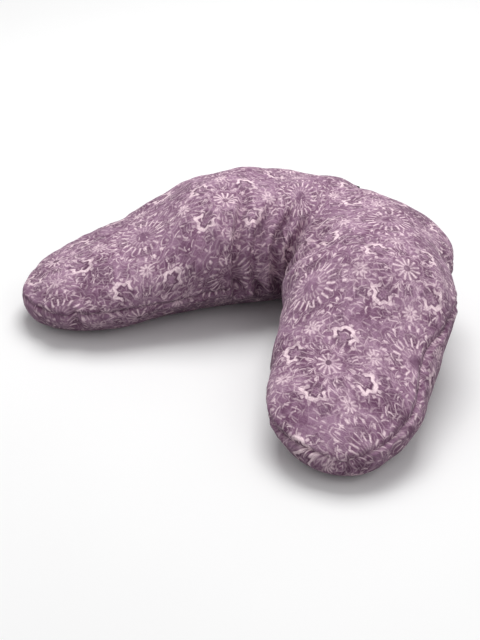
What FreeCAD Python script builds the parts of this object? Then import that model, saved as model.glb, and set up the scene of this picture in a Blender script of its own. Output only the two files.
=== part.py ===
"""Nursing pillow: a zipped printed cover over a sewn, filled inner case.

Units are millimetres. +Z is up, the pillow lies on the plane z = 0, its two arms reach towards -Y, and
the X = 0 plane is its plane of symmetry. The origin is the middle of its footprint on the floor.

Every soft piece is a nest of one outline. The outline is a V drawn with tangent arcs and lines: a wide back
arc, two shoulders, two straight arms with round tips, and a small arc in the notch. It is drawn at several
heights, and a loft through the heights makes a solid. Pieces further in are the same loft with the outline
moved inwards by that piece's depth. The zip lies in the back arc, so its chain is a ring sector about one
vertical line, and its slider turns about that line.
"""
import FreeCAD, Part
import os
import math
import Sketcher
from FreeCAD import Vector

DOC = FreeCAD.newDocument("nursing_pillow")

# ---------------------------------------------------------------------------------------------------------
# Driving dimensions
# ---------------------------------------------------------------------------------------------------------
SIZES = [
    # the whole pillow
    ("overall_width", 660.0),
    ("overall_depth", 464.0),
    ("overall_height", 180.0),
    ("arm_half_angle", 33.0),
    ("back_radius", 319.0),
    ("shoulder_radius", 170.0),
    ("shoulder_offset", 67.0),
    ("notch_depth", 265.0),
    ("notch_radius", 5.0),
    ("tip_radius", 98.0),
    # fabric and clearances
    ("cover_thickness", 1.0),
    ("case_thickness", 0.8),
    ("cover_to_case_side", 4.5),
    ("cover_to_case_end", 1.0),
    ("case_to_filling", 0.5),
    # the cover's seam
    ("seam_back_height", 110.0),
    ("seam_tip_height", 47.0),
    ("seam_drop_start", 400.0),
    # the zip
    ("zip_length", 250.0),
    ("zip_window", 4.6),
    ("chain_slit", 1.6),
    ("coil_width", 1.9),
    ("coil_thickness", 1.8),
    ("coil_depth", 0.8),
    ("tape_width", 9.0),
    ("tape_thickness", 0.6),
    ("tape_overlap", 8.0),
    ("stop_length", 2.4),
    ("slider_length", 9.0),
    ("slider_clearance", 0.4),
    ("slider_plate", 1.1),
    ("slider_wall", 0.8),
    ("post_width", 0.9),
    ("post_length", 4.0),
    ("bridge_wire", 1.2),
    ("bridge_width", 2.2),
    ("pull_length", 24.0),
    ("pull_width", 6.2),
    ("pull_thickness", 1.0),
    ("pull_clearance", 0.4),
    # the tab and the care label
    ("tab_width", 26.0),
    ("tab_reach", 19.0),
    ("tab_thickness", 2.2),
    ("tab_angle", 10.5),
    ("tab_rise_angle", 60.0),
    ("tab_gap", 0.4),
    ("label_width", 28.0),
    ("label_drop", 20.0),
    ("label_thickness", 0.4),
    ("label_depth", 4.6),
    ("label_angle", 12.0),
]

# The outline's heights, from the floor up: name, share of the overall height, how far the outline lies
# inside the widest one, how far the tip's centre is drawn back along the arm, and the tip's radius as a
# difference from tip_radius.
LEVELS = [
    ("floor", 0.0, 80.0, -18.0, -62.0),
    ("foot", 0.1, 45.0, -18.0, -24.0),
    ("low", 0.25, 18.0, 0.0, 0.0),
    ("middle", 0.42, 4.5, 43.0, 7.0),
    ("wide", 0.545, 1.3, 98.0, 6.0),
    ("high", 0.678, 1.9, 155.0, 5.0),
    ("upper", 0.82, 20.0, 182.0, -8.0),
    ("shoulder", 0.925, 46.0, 186.0, -34.0),
    ("crown", 1.0, 82.0, 168.0, -80.0),
]

SHEET = DOC.addObject("Spreadsheet::Sheet", "Sizes")
TRIM = 40.0  # how far the cutting tools reach past what they cut


def put_sizes():
    """Write every driving dimension into the sheet, one row each, with its name as the alias."""
    rows = list(SIZES)
    for name, share, inset, draw, tip in LEVELS:
        rows.append((name + "_share", share))
        rows.append((name + "_inset", inset))
        rows.append((name + "_draw", draw))
        rows.append((name + "_tip", tip))
    for row, (name, number) in enumerate(rows, start=1):
        SHEET.set("A%d" % row, name)
        SHEET.set("B%d" % row, repr(number))
        SHEET.setAlias("B%d" % row, name)
    DOC.recompute()


def size(name):
    """The number in the sheet under this alias."""
    return float(SHEET.get(name))


def total(names):
    """The sum of several sizes, as a number."""
    return sum(size(name) for name in names)


def total_text(names):
    """The same sum as an expression."""
    return " + ".join("Sizes." + name for name in names) if names else "0"


# ---------------------------------------------------------------------------------------------------------
# Sketch helpers
# ---------------------------------------------------------------------------------------------------------
def new_body(name):
    """An empty body with a label of its own."""
    body = DOC.addObject("PartDesign::Body", name)
    body.Label = name
    return body


def plane_of(body, role):
    """One of the body's own origin planes."""
    for feature in body.Origin.OriginFeatures:
        if feature.Role == role:
            return feature
    raise RuntimeError("no " + role)


def new_sketch(body, name, role, offsets):
    """A sketch on an origin plane of the body, moved by expressions along the plane's own x, y and z."""
    sketch = body.newObject("Sketcher::SketchObject", name)
    sketch.AttachmentSupport = [(plane_of(body, role), "")]
    sketch.MapMode = "FlatFace"
    for axis, text in offsets.items():
        sketch.setExpression("AttachmentOffset.Base." + axis, text)
    return sketch


def bind(sketch, kind, places, number, text):
    """Add one dimension to the sketch and tie it to an expression."""
    index = sketch.addConstraint(Sketcher.Constraint(kind, *places, number))
    sketch.setExpression("Constraints[%d]" % index, text)
    return index


def line(start, end):
    """A straight edge between two points given as (x, y)."""
    return Part.LineSegment(Vector(start[0], start[1], 0), Vector(end[0], end[1], 0))


def arc(centre, radius, start, end):
    """A circular edge, anticlockwise from the start angle to the end angle, in radians."""
    circle = Part.Circle(Vector(centre[0], centre[1], 0), Vector(0, 0, 1), radius)
    return Part.ArcOfCircle(circle, start, end)


def rectangle(body, name, role, offsets, low, high):
    """A rectangle on an origin plane, from low to high.

    Each corner is a pair of (number, expression) pairs, measured from the sketch's origin.
    """
    sketch = new_sketch(body, name, role, offsets)
    (x0, x0_text), (y0, y0_text) = low
    (x1, x1_text), (y1, y1_text) = high
    corners = [(x0, y0), (x1, y0), (x1, y1), (x0, y1)]
    for index in range(4):
        sketch.addGeometry(line(corners[index], corners[(index + 1) % 4]), False)
    for index in range(4):
        sketch.addConstraint(Sketcher.Constraint("Coincident", index, 2, (index + 1) % 4, 1))
    sketch.addConstraint(Sketcher.Constraint("Horizontal", 0))
    sketch.addConstraint(Sketcher.Constraint("Horizontal", 2))
    sketch.addConstraint(Sketcher.Constraint("Vertical", 1))
    sketch.addConstraint(Sketcher.Constraint("Vertical", 3))
    bind(sketch, "DistanceX", (-1, 1, 0, 1), x0, x0_text)
    bind(sketch, "DistanceY", (-1, 1, 0, 1), y0, y0_text)
    bind(sketch, "DistanceX", (-1, 1, 1, 2), x1, x1_text)
    bind(sketch, "DistanceY", (-1, 1, 1, 2), y1, y1_text)
    return sketch


def pad(body, name, sketch, number, text):
    """Pad a sketch by equal amounts to both sides."""
    feature = body.newObject("PartDesign::Pad", name)
    feature.Profile = sketch
    feature.SideType = "Symmetric"
    feature.Length = number
    feature.setExpression("Length", text)
    return feature


def turn(body, kind, name, sketch, number, text):
    """Revolve or groove a sketch about its own vertical axis, by equal amounts to both sides."""
    feature = body.newObject("PartDesign::" + kind, name)
    feature.Profile = sketch
    feature.ReferenceAxis = (sketch, ["V_Axis"])
    feature.Midplane = True
    feature.Angle = number
    feature.setExpression("Angle", text)
    return feature


# ---------------------------------------------------------------------------------------------------------
# The outline and the solids nested in it
# ---------------------------------------------------------------------------------------------------------
def outline(body, level, side, lift, lift_text):
    """The V outline of one level, moved inwards by the sum of the sizes named in side, at a height.

    The sketch's origin is on the symmetry plane, on the line that touches both tips.
    """
    name, share, inset, draw, tip = level
    angle = math.radians(size("arm_half_angle"))
    inwards = size(name + "_inset") + total(side)
    inwards_text = total_text([name + "_inset"] + side)
    depth, back = size("overall_depth"), size("back_radius")
    shoulder, offset = size("shoulder_radius"), size("shoulder_offset")
    drawn = size(name + "_draw")
    back_y = depth - back
    shoulder_y = back_y + math.sqrt((back - shoulder) ** 2 - offset ** 2)
    tip_x = size("overall_width") / 2 - size("tip_radius") - drawn * math.sin(angle)
    tip_y = size("tip_radius") + drawn * math.cos(angle)
    notch_y = size("notch_depth") - size("notch_radius")
    back_r, shoulder_r = back - inwards, shoulder - inwards
    tip_r = size("tip_radius") + size(name + "_tip") - total(side)
    notch_r = size("notch_radius") + inwards

    # the outer edge touches the shoulder and the tip on the same side, and the inner edge crosses from the
    # tip to the notch, so each is found from the angle between the line of centres and the touching radius
    span = math.hypot(tip_x - offset, tip_y - shoulder_y)
    heading = math.atan2(tip_y - shoulder_y, tip_x - offset)
    outer = heading + math.acos((shoulder_r - tip_r) / span)
    inner_span = math.hypot(tip_x, tip_y - notch_y)
    inner_heading = math.atan2(tip_y - notch_y, tip_x)
    inner = inner_heading - math.acos(-(tip_r + notch_r) / inner_span)
    join = math.atan2(shoulder_y - back_y, offset)

    def on(centre_x, centre_y, radius, at):
        return (centre_x + radius * math.cos(at), centre_y + radius * math.sin(at))

    outer_top = on(offset, shoulder_y, shoulder_r, outer)
    outer_low = on(tip_x, tip_y, tip_r, outer)
    inner_low = on(tip_x, tip_y, tip_r, inner)
    inner_top = on(0, notch_y, notch_r, inner + math.pi)

    def mirror(point):
        return (-point[0], point[1])

    sketch = new_sketch(body, body.Name + "_" + name, "XY_Plane", {"z": lift_text})
    sketch.addGeometry([
        arc((0, back_y), back_r, join, math.pi - join),
        arc((offset, shoulder_y), shoulder_r, outer, join),
        line(outer_top, outer_low),
        arc((tip_x, tip_y), tip_r, inner, outer),
        line(inner_low, inner_top),
        arc((0, notch_y), notch_r, inner + math.pi, -inner),
        line(mirror(inner_top), mirror(inner_low)),
        arc((-tip_x, tip_y), tip_r, math.pi - outer, math.pi - inner),
        line(mirror(outer_low), mirror(outer_top)),
        arc((-offset, shoulder_y), shoulder_r, math.pi - join, math.pi - outer),
    ], False)
    joints = [(0, 1, 1, 2), (1, 1, 2, 1), (2, 2, 3, 2), (3, 1, 4, 1), (4, 2, 5, 1),
              (5, 2, 6, 1), (6, 2, 7, 2), (7, 1, 8, 1), (8, 2, 9, 2), (9, 1, 0, 2)]
    for places in joints:
        sketch.addConstraint(Sketcher.Constraint("Tangent", *places))
    for arc_index in (0, 5):
        sketch.addConstraint(Sketcher.Constraint("PointOnObject", arc_index, 3, -2))
    bind(sketch, "DistanceY", (-1, 1, 0, 3), back_y, "Sizes.overall_depth - Sizes.back_radius")
    bind(sketch, "DistanceY", (-1, 1, 5, 3), notch_y, "Sizes.notch_depth - Sizes.notch_radius")
    bind(sketch, "Radius", (0,), back_r, "Sizes.back_radius - (%s)" % inwards_text)
    bind(sketch, "Radius", (5,), notch_r, "Sizes.notch_radius + " + inwards_text)
    tip_x_text = ("Sizes.overall_width / 2 - Sizes.tip_radius - Sizes.%s_draw * sin(Sizes.arm_half_angle)"
                  % name)
    tip_y_text = "Sizes.tip_radius + Sizes.%s_draw * cos(Sizes.arm_half_angle)" % name
    tip_r_text = "Sizes.tip_radius + Sizes.%s_tip - (%s)" % (name, total_text(side))
    for shoulder_arc, tip_arc in ((1, 3), (9, 7)):
        for arc_index, number, text in ((shoulder_arc, offset, "Sizes.shoulder_offset"),
                                        (tip_arc, tip_x, tip_x_text)):
            places = (-1, 1, arc_index, 3) if shoulder_arc == 1 else (arc_index, 3, -1, 1)
            bind(sketch, "DistanceX", places, number, text)
        bind(sketch, "DistanceY", (-1, 1, tip_arc, 3), tip_y, tip_y_text)
        bind(sketch, "Radius", (shoulder_arc,), shoulder_r, "Sizes.shoulder_radius - (%s)" % inwards_text)
        bind(sketch, "Radius", (tip_arc,), tip_r, tip_r_text)
    return sketch


def nest(name, side, ends):
    """The whole pillow's form, moved inwards: by the sizes in side across, and by those in ends up and down."""
    body = new_body(name)
    sketches = []
    end_text = total_text(ends)
    for level in LEVELS:
        share = size(level[0] + "_share")
        lift = total(ends) + share * (size("overall_height") - 2 * total(ends))
        lift_text = "(%s) + Sizes.%s_share * (Sizes.overall_height - 2 * (%s))" % (end_text, level[0], end_text)
        sketches.append(outline(body, level, side, lift, lift_text))
    loft = body.newObject("PartDesign::AdditiveLoft", name + "_loft")
    loft.Profile = sketches[0]
    loft.Sections = sketches[1:]
    return body


# ---------------------------------------------------------------------------------------------------------
# Where the zip lies
# ---------------------------------------------------------------------------------------------------------
ARC_Y = "(Sizes.overall_depth - Sizes.back_radius)"
DEGREES = " / Sizes.back_radius * 180 / pi"
WINDOW_LENGTH = "(Sizes.zip_length + 2 * Sizes.stop_length + 2 * Sizes.slider_clearance)"


def place(feature, turn_text="0"):
    """Put a piece into the pillow's frame, turned about the zip's vertical line by an angle."""
    feature.setExpression("Placement.Rotation.Angle", turn_text)
    feature.setExpression("Placement.Base.x", "%s * sin(%s)" % (ARC_Y, turn_text))
    feature.setExpression("Placement.Base.y", "%s * (1 - cos(%s)) - Sizes.overall_depth / 2" % (ARC_Y, turn_text))
    return feature


def ring(name, radii, heights, length, kind="Revolution", body=None):
    """A ring sector about the zip's vertical line, centred on the back.

    radii and heights are each a (low, high) pair, and each of those, like length, is a
    (number, expression) pair.
    """
    if body is None:
        body = new_body(name)
    sketch = rectangle(body, name + "_section", "YZ_Plane", {"x": ARC_Y},
                       (radii[0], heights[0]), (radii[1], heights[1]))
    number, text = length
    turn(body, kind, name + "_turn", sketch, math.degrees(number / size("back_radius")), text + DEGREES)
    return body


def from_back(*names, sign=-1):
    """A radius: back_radius less (or plus) the sum of some sizes, as (number, expression)."""
    word = "-" if sign < 0 else "+"
    return (size("back_radius") + sign * total(names),
            "Sizes.back_radius %s (%s)" % (word, total_text(names)))


def from_seam(number, text):
    """A height above (or below) the zip's middle, as (number, expression)."""
    return (size("seam_back_height") + number, "Sizes.seam_back_height + (%s)" % text)


# ---------------------------------------------------------------------------------------------------------
# The seam: a tool for what is above it and one for what is below it
# ---------------------------------------------------------------------------------------------------------
def seam_tool(name, above, with_window):
    """A block bounded by the seam's surface, with the zip's window cut out of it for the cover's panels.

    The seam's surface is level at the back and drops towards the tips along one arc that is tangent to it.
    """
    body = new_body(name)
    high, low = size("seam_back_height"), size("seam_tip_height")
    start, far = size("seam_drop_start"), size("overall_depth") + TRIM
    drop = high - low
    radius = (start ** 2 + drop ** 2) / (2 * drop)
    sink = radius - math.sqrt(radius ** 2 - (start + TRIM) ** 2)
    edge = size("overall_height") + TRIM if above else -TRIM
    end_angle = math.pi / 2 + math.asin((start + TRIM) / radius)
    sketch = new_sketch(body, name + "_side", "YZ_Plane", {})
    sketch.addGeometry([
        line((start, high), (far, high)),
        line((far, high), (far, edge)),
        line((far, edge), (-TRIM, edge)),
        line((-TRIM, edge), (-TRIM, high - sink)),
        arc((start, high - radius), radius, math.pi / 2, end_angle),
    ], False)
    sketch.addConstraint(Sketcher.Constraint("Tangent", 0, 1, 4, 1))
    for places in ((0, 2, 1, 1), (1, 2, 2, 1), (2, 2, 3, 1), (3, 2, 4, 2)):
        sketch.addConstraint(Sketcher.Constraint("Coincident", *places))
    for index, kind in ((0, "Horizontal"), (1, "Vertical"), (2, "Horizontal"), (3, "Vertical")):
        sketch.addConstraint(Sketcher.Constraint(kind, index))
    bind(sketch, "DistanceX", (-1, 1, 0, 1), start, "Sizes.seam_drop_start")
    bind(sketch, "DistanceY", (-1, 1, 0, 1), high, "Sizes.seam_back_height")
    bind(sketch, "DistanceX", (-1, 1, 0, 2), far, "Sizes.overall_depth + %r" % TRIM)
    bind(sketch, "DistanceX", (2, 2, -1, 1), TRIM, "%r" % TRIM)
    if above:
        bind(sketch, "DistanceY", (-1, 1, 1, 2), edge, "Sizes.overall_height + %r" % TRIM)
    else:
        bind(sketch, "DistanceY", (1, 2, -1, 1), TRIM, "%r" % TRIM)
    fall = "(Sizes.seam_back_height - Sizes.seam_tip_height)"
    bind(sketch, "Radius", (4,), radius, "(Sizes.seam_drop_start ^ 2 + %s ^ 2) / (2 * %s)" % (fall, fall))
    pad(body, name + "_block", sketch, size("overall_width") + 2 * TRIM, "Sizes.overall_width + %r" % (2 * TRIM))
    if with_window:
        window = size("zip_window")
        heights = ((0.0, "0"), (window, "Sizes.zip_window")) if above else (
            (-window, "-Sizes.zip_window"), (0.0, "0"))
        length = size("zip_length") + 2 * size("stop_length") + 2 * size("slider_clearance")
        ring(name + "_window",
             (from_back("tape_width"), from_back("tape_width", sign=1)),
             (from_seam(*heights[0]), from_seam(*heights[1])),
             (length, WINDOW_LENGTH), "Groove", body)
    return body


def boolean(kind, name, base, tool):
    """A Part boolean of two objects."""
    feature = DOC.addObject("Part::" + kind, name)
    feature.Label = name
    feature.Base = base
    feature.Tool = tool
    return feature


# ---------------------------------------------------------------------------------------------------------
# The pieces
# ---------------------------------------------------------------------------------------------------------
def make_soft_pieces():
    """The cover's two panels, the inner case's two panels and the filling, as {node: object}."""
    cover = ["cover_thickness"]
    case = cover + ["cover_to_case_side"]
    case_ends = cover + ["cover_to_case_end"]
    lining = ["case_thickness"]
    fill = lining + ["case_to_filling"]
    outer = nest("cover_outside", [], [])
    inner = nest("cover_inside", cover, cover)
    case_outer = nest("case_outside", case, case_ends)
    case_inner = nest("case_inside", case + lining, case_ends + lining)
    filling = nest("filling", case + fill, case_ends + fill)
    cover_wall = boolean("Cut", "cover_wall", outer, inner)
    case_wall = boolean("Cut", "case_wall", case_outer, case_inner)
    pieces = {}
    for side, above in (("top", True), ("bottom", False)):
        cover_tool = seam_tool("cover_%s_tool" % side, above, True)
        case_tool = seam_tool("case_%s_tool" % side, above, False)
        pieces["cover_%s_panel" % side] = boolean("Common", "cover_%s_panel" % side, cover_wall, cover_tool)
        pieces["case_%s_panel" % side] = boolean("Common", "case_%s_panel" % side, case_wall, case_tool)
    pieces["filling"] = filling
    for piece in pieces.values():
        place(piece)
    return pieces


def beside_slit(sign, name):
    """The heights from the chain's slit outwards by one size, above its middle or below it, lower one first."""
    mark = "" if sign > 0 else "-"
    slit = size("chain_slit") / 2
    near = from_seam(sign * slit, mark + "Sizes.chain_slit / 2")
    far = from_seam(sign * (slit + size(name)), "%s(Sizes.chain_slit / 2 + Sizes.%s)" % (mark, name))
    return (near, far) if sign > 0 else (far, near)


def make_zip_chain():
    """The two tapes, the two coils and the stops, as {node: object}."""
    front = from_back("coil_depth")
    back = from_back("coil_depth", "coil_thickness")
    tape_back = from_back("coil_depth", "coil_thickness", "tape_thickness")
    window = size("zip_length") + 2 * size("stop_length") + 2 * size("slider_clearance")
    tape_length = (window + 2 * size("tape_overlap"), "(%s + 2 * Sizes.tape_overlap)" % WINDOW_LENGTH)
    coil_length = (size("zip_length"), "Sizes.zip_length")
    stop_length = (size("stop_length"), "Sizes.stop_length")
    end_turn = "((Sizes.zip_length + Sizes.stop_length) / 2%s)" % DEGREES
    pieces = {}
    halves = []
    for side, sign in (("upper", 1), ("lower", -1)):
        tape = ring("zip_tape_" + side, (tape_back, back), beside_slit(sign, "tape_width"), tape_length)
        coil = ring("zip_coil_" + side, (back, front), beside_slit(sign, "coil_width"), coil_length)
        pieces["zip_tape_" + side] = place(tape)
        pieces["zip_coil_" + side] = place(coil)
        stop = ring("zip_top_stop_" + side, (back, front), beside_slit(sign, "coil_width"), stop_length)
        halves.append(stop)
    pieces["zip_top_stops"] = place(boolean("Fuse", "zip_top_stops", halves[0], halves[1]), end_turn)
    whole = (beside_slit(-1, "coil_width")[0], beside_slit(1, "coil_width")[1])
    bottom_stop = ring("zip_bottom_stop", (back, front), whole, stop_length)
    pieces["zip_bottom_stop"] = place(bottom_stop, "-" + end_turn)
    return pieces


def closed_profile(sketch, points):
    """Add a closed run of straight edges whose corners lie square to each other, all horizontal or vertical.

    points is a list of ((x, expression), (y, expression)) pairs, and each corner is tied to both.
    """
    first = sketch.GeometryCount
    count = len(points)
    for index, (x, y) in enumerate(points):
        next_x, next_y = points[(index + 1) % count]
        sketch.addGeometry(line((x[0], y[0]), (next_x[0], next_y[0])), False)
    for index in range(count):
        after = (index + 1) % count
        sketch.addConstraint(Sketcher.Constraint("Coincident", first + index, 2, first + after, 1))
        x, y = points[index]
        bind(sketch, "DistanceX", (-1, 1, first + index, 1), x[0], x[1])
        bind(sketch, "DistanceY", (-1, 1, first + index, 1), y[0], y[1])


def outwards(*names, inner=()):
    """A distance out from the cover's surface, as (number, expression): names less the inner ones."""
    number = total(names) - total(inner)
    text = total_text(list(names)) + (" - (%s)" % total_text(list(inner)) if inner else "")
    return (number, text)


SLIDER_TURN = ("((Sizes.zip_length / 2 - Sizes.slider_length / 2 - Sizes.slider_clearance)%s)" % DEGREES)


def make_slider():
    """The slider: an outer plate with side walls, an inner plate, the post that joins them, and the bridge.

    It is drawn at the middle of the back, where x runs along the chain and y outwards, with the sketch's
    origin on the cover's surface at the chain's middle.
    """
    body = new_body("zip_slider")
    at_chain = {"x": "Sizes.overall_depth", "y": "Sizes.seam_back_height"}
    half = size("chain_slit") / 2 + size("coil_width") + size("slider_clearance")
    half_text = "(Sizes.chain_slit / 2 + Sizes.coil_width + Sizes.slider_clearance)"
    inside, outside = (half, half_text), (half + size("slider_wall"), half_text + " + Sizes.slider_wall")
    inside_low = (-inside[0], "-" + half_text)
    outside_low = (-outside[0], "-(%s)" % outside[1])
    post = (size("post_width") / 2, "Sizes.post_width / 2")
    post_low = (-post[0], "-" + post[1])
    plate_under = outwards("slider_clearance", inner=("coil_depth",))
    plate_top = outwards("slider_clearance", "slider_plate", inner=("coil_depth",))
    wall_foot = outwards("slider_clearance", inner=("coil_depth", "coil_thickness"))
    inner_face = outwards(inner=("coil_depth", "coil_thickness", "tape_thickness", "slider_clearance"))
    inner_back = outwards(inner=("coil_depth", "coil_thickness", "tape_thickness", "slider_clearance",
                                 "slider_plate"))

    nose = new_sketch(body, "slider_nose_section", "YZ_Plane", at_chain)
    nose_shift = "-(Sizes.slider_length - Sizes.post_length) / 2"
    nose.setExpression("AttachmentOffset.Base.z", nose_shift)
    closed_profile(nose, [
        (plate_top, outside_low), (plate_top, outside), (wall_foot, outside), (wall_foot, inside),
        (plate_under, inside), (plate_under, post), (inner_face, post), (inner_face, outside),
        (inner_back, outside), (inner_back, outside_low), (inner_face, outside_low), (inner_face, post_low),
        (plate_under, post_low), (plate_under, inside_low), (wall_foot, inside_low), (wall_foot, outside_low),
    ])
    pad(body, "slider_nose", nose, size("post_length"), "Sizes.post_length")
    cover = new_sketch(body, "slider_outer_section", "YZ_Plane", at_chain)
    closed_profile(cover, [
        (plate_top, outside_low), (plate_top, outside), (wall_foot, outside), (wall_foot, inside),
        (plate_under, inside), (plate_under, inside_low), (wall_foot, inside_low), (wall_foot, outside_low),
    ])
    pad(body, "slider_outer", cover, size("slider_length"), "Sizes.slider_length")
    under = new_sketch(body, "slider_inner_section", "YZ_Plane", at_chain)
    closed_profile(under, [
        (inner_face, outside_low), (inner_face, outside), (inner_back, outside), (inner_back, outside_low),
    ])
    pad(body, "slider_inner", under, size("slider_length"), "Sizes.slider_length")

    window = bridge_window()
    bridge = new_sketch(body, "slider_bridge_side", "XY_Plane",
                        {"y": "Sizes.overall_depth + " + plate_top[1], "z": "Sizes.seam_back_height"})
    wire = size("bridge_wire")
    bridge.addGeometry([
        arc((0, 0), window + wire, 0, math.pi),
        line((-window - wire, 0), (-window, 0)),
        arc((0, 0), window, 0, math.pi),
        line((window, 0), (window + wire, 0)),
    ], False)
    for places in ((0, 2, 1, 1), (1, 2, 2, 2), (2, 1, 3, 1), (3, 2, 0, 1)):
        bridge.addConstraint(Sketcher.Constraint("Coincident", *places))
    bridge.addConstraint(Sketcher.Constraint("Coincident", 0, 3, -1, 1))
    bridge.addConstraint(Sketcher.Constraint("Coincident", 2, 3, -1, 1))
    bridge.addConstraint(Sketcher.Constraint("Horizontal", 1))
    bridge.addConstraint(Sketcher.Constraint("Horizontal", 3))
    bridge.addConstraint(Sketcher.Constraint("PointOnObject", 1, 2, -1))
    bind(bridge, "Radius", (0,), window + wire, BRIDGE_WINDOW + " + Sizes.bridge_wire")
    bind(bridge, "Radius", (2,), window, BRIDGE_WINDOW)
    pad(body, "slider_bridge", bridge, size("bridge_width"), "Sizes.bridge_width")
    return place(body, SLIDER_TURN)


# The bridge's window holds the pull's bar, which turns on the window's middle with a clearance all round.
BAR_REACH = "(Sizes.pull_thickness / sqrt(2))"
BRIDGE_WINDOW = "(2 * (%s + Sizes.pull_clearance))" % BAR_REACH


def bridge_window():
    """The radius of the bridge's window: twice the bar's turning radius and its clearance."""
    return 2 * (size("pull_thickness") / math.sqrt(2) + size("pull_clearance"))


def make_pull():
    """The pull: a flat tab whose square end bar lies in the bridge and whose slot clears it."""
    body = new_body("zip_pull")
    hinge_out = bridge_window() / 2
    top = outwards("slider_clearance", "slider_plate", inner=("coil_depth",))
    bar, clear = size("pull_thickness") / 2, size("pull_clearance")
    slot_half = size("bridge_width") / 2 + clear
    outer = bridge_window() + size("bridge_wire")
    slot_end = math.hypot(outer, hinge_out) + clear
    slot_end_text = ("sqrt((%s + Sizes.bridge_wire) ^ 2 + (%s / 2) ^ 2) + Sizes.pull_clearance"
                     % (BRIDGE_WINDOW, BRIDGE_WINDOW))
    half, length = size("pull_width") / 2, size("pull_length")
    straight = length - half
    sketch = new_sketch(body, "pull_face", "XZ_Plane", {
        "y": "Sizes.seam_back_height",
        "z": "-(Sizes.overall_depth + %s + %s / 2)" % (top[1], BRIDGE_WINDOW)})
    sketch.addGeometry([
        line((-bar, -half), (straight, -half)),
        arc((straight, 0), half, -math.pi / 2, math.pi / 2),
        line((straight, half), (-bar, half)),
        line((-bar, half), (-bar, -half)),
    ], False)
    sketch.addConstraint(Sketcher.Constraint("Tangent", 0, 2, 1, 1))
    sketch.addConstraint(Sketcher.Constraint("Tangent", 1, 2, 2, 1))
    sketch.addConstraint(Sketcher.Constraint("Coincident", 2, 2, 3, 1))
    sketch.addConstraint(Sketcher.Constraint("Coincident", 3, 2, 0, 1))
    sketch.addConstraint(Sketcher.Constraint("Horizontal", 0))
    sketch.addConstraint(Sketcher.Constraint("Vertical", 3))
    sketch.addConstraint(Sketcher.Constraint("PointOnObject", 1, 3, -1))
    bind(sketch, "Radius", (1,), half, "Sizes.pull_width / 2")
    bind(sketch, "DistanceX", (3, 2, -1, 1), bar, "Sizes.pull_thickness / 2")
    bind(sketch, "DistanceX", (-1, 1, 1, 3), straight, "Sizes.pull_length - Sizes.pull_width / 2")
    slot_text = "(Sizes.bridge_width / 2 + Sizes.pull_clearance)"
    closed_profile(sketch, [
        ((bar, "Sizes.pull_thickness / 2"), (-slot_half, "-" + slot_text)),
        ((slot_end, slot_end_text), (-slot_half, "-" + slot_text)),
        ((slot_end, slot_end_text), (slot_half, slot_text)),
        ((bar, "Sizes.pull_thickness / 2"), (slot_half, slot_text)),
    ])
    pad(body, "pull_tab", sketch, size("pull_thickness"), "Sizes.pull_thickness")
    return place(body, SLIDER_TURN)


def make_tab():
    """The fabric tab sewn into the seam above the zip: a strip folded double, rising from the seam."""
    body = new_body("seam_tab")
    reach, thick = size("tab_reach"), size("tab_thickness")
    straight = reach - thick / 2
    sketch = new_sketch(body, "tab_side", "YZ_Plane", {
        "x": "Sizes.overall_depth + Sizes.tab_gap + Sizes.tab_thickness * sin(Sizes.tab_rise_angle)",
        "y": "Sizes.seam_back_height + Sizes.zip_window"})
    sketch.setExpression("AttachmentOffset.Rotation.Angle", "Sizes.tab_rise_angle")
    sketch.addGeometry([
        line((0, 0), (straight, 0)),
        arc((straight, thick / 2), thick / 2, -math.pi / 2, math.pi / 2),
        line((straight, thick), (0, thick)),
        line((0, thick), (0, 0)),
    ], False)
    sketch.addConstraint(Sketcher.Constraint("Tangent", 0, 2, 1, 1))
    sketch.addConstraint(Sketcher.Constraint("Tangent", 1, 2, 2, 1))
    sketch.addConstraint(Sketcher.Constraint("Coincident", 2, 2, 3, 1))
    sketch.addConstraint(Sketcher.Constraint("Coincident", 3, 2, 0, 1))
    sketch.addConstraint(Sketcher.Constraint("Coincident", 0, 1, -1, 1))
    sketch.addConstraint(Sketcher.Constraint("Horizontal", 0))
    sketch.addConstraint(Sketcher.Constraint("Vertical", 3))
    bind(sketch, "Radius", (1,), thick / 2, "Sizes.tab_thickness / 2")
    bind(sketch, "DistanceX", (-1, 1, 1, 3), straight, "Sizes.tab_reach - Sizes.tab_thickness / 2")
    pad(body, "tab_strip", sketch, size("tab_width"), "Sizes.tab_width")
    return place(body, "Sizes.tab_angle")


def make_label():
    """The care label: a plain strip that hangs inside the cover from the lower tape's seam."""
    body = ring("care_label",
                (from_back("label_depth", "label_thickness"), from_back("label_depth")),
                (from_seam(-total(("zip_window", "slider_clearance", "label_drop")),
                           "-(Sizes.zip_window + Sizes.slider_clearance + Sizes.label_drop)"),
                 from_seam(-total(("zip_window", "slider_clearance")),
                           "-(Sizes.zip_window + Sizes.slider_clearance)")),
                (size("label_width"), "Sizes.label_width"))
    return place(body, "-Sizes.label_angle")


def main():
    """Build the pillow, check every object and write one STEP file for each piece."""
    put_sizes()
    pieces = make_soft_pieces()
    pieces.update(make_zip_chain())
    pieces["zip_slider"] = make_slider()
    pieces["zip_pull"] = make_pull()
    pieces["seam_tab"] = make_tab()
    pieces["care_label"] = make_label()
    DOC.recompute()
    for item in DOC.Objects:
        if "Invalid" in item.State or "Error" in item.State:
            raise RuntimeError("%s failed: %s" % (item.Name, item.State))
    os.makedirs("parts", exist_ok=True)
    for node, piece in sorted(pieces.items()):
        shape = piece.Shape
        if shape.isNull() or not shape.isValid():
            raise RuntimeError("%s has no valid shape" % node)
        shape.exportStep(os.path.join("parts", node + ".step"))
        print("%-22s solids %d  volume %.1f cm3" % (node, len(shape.Solids), shape.Volume / 1000))


main()
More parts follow.
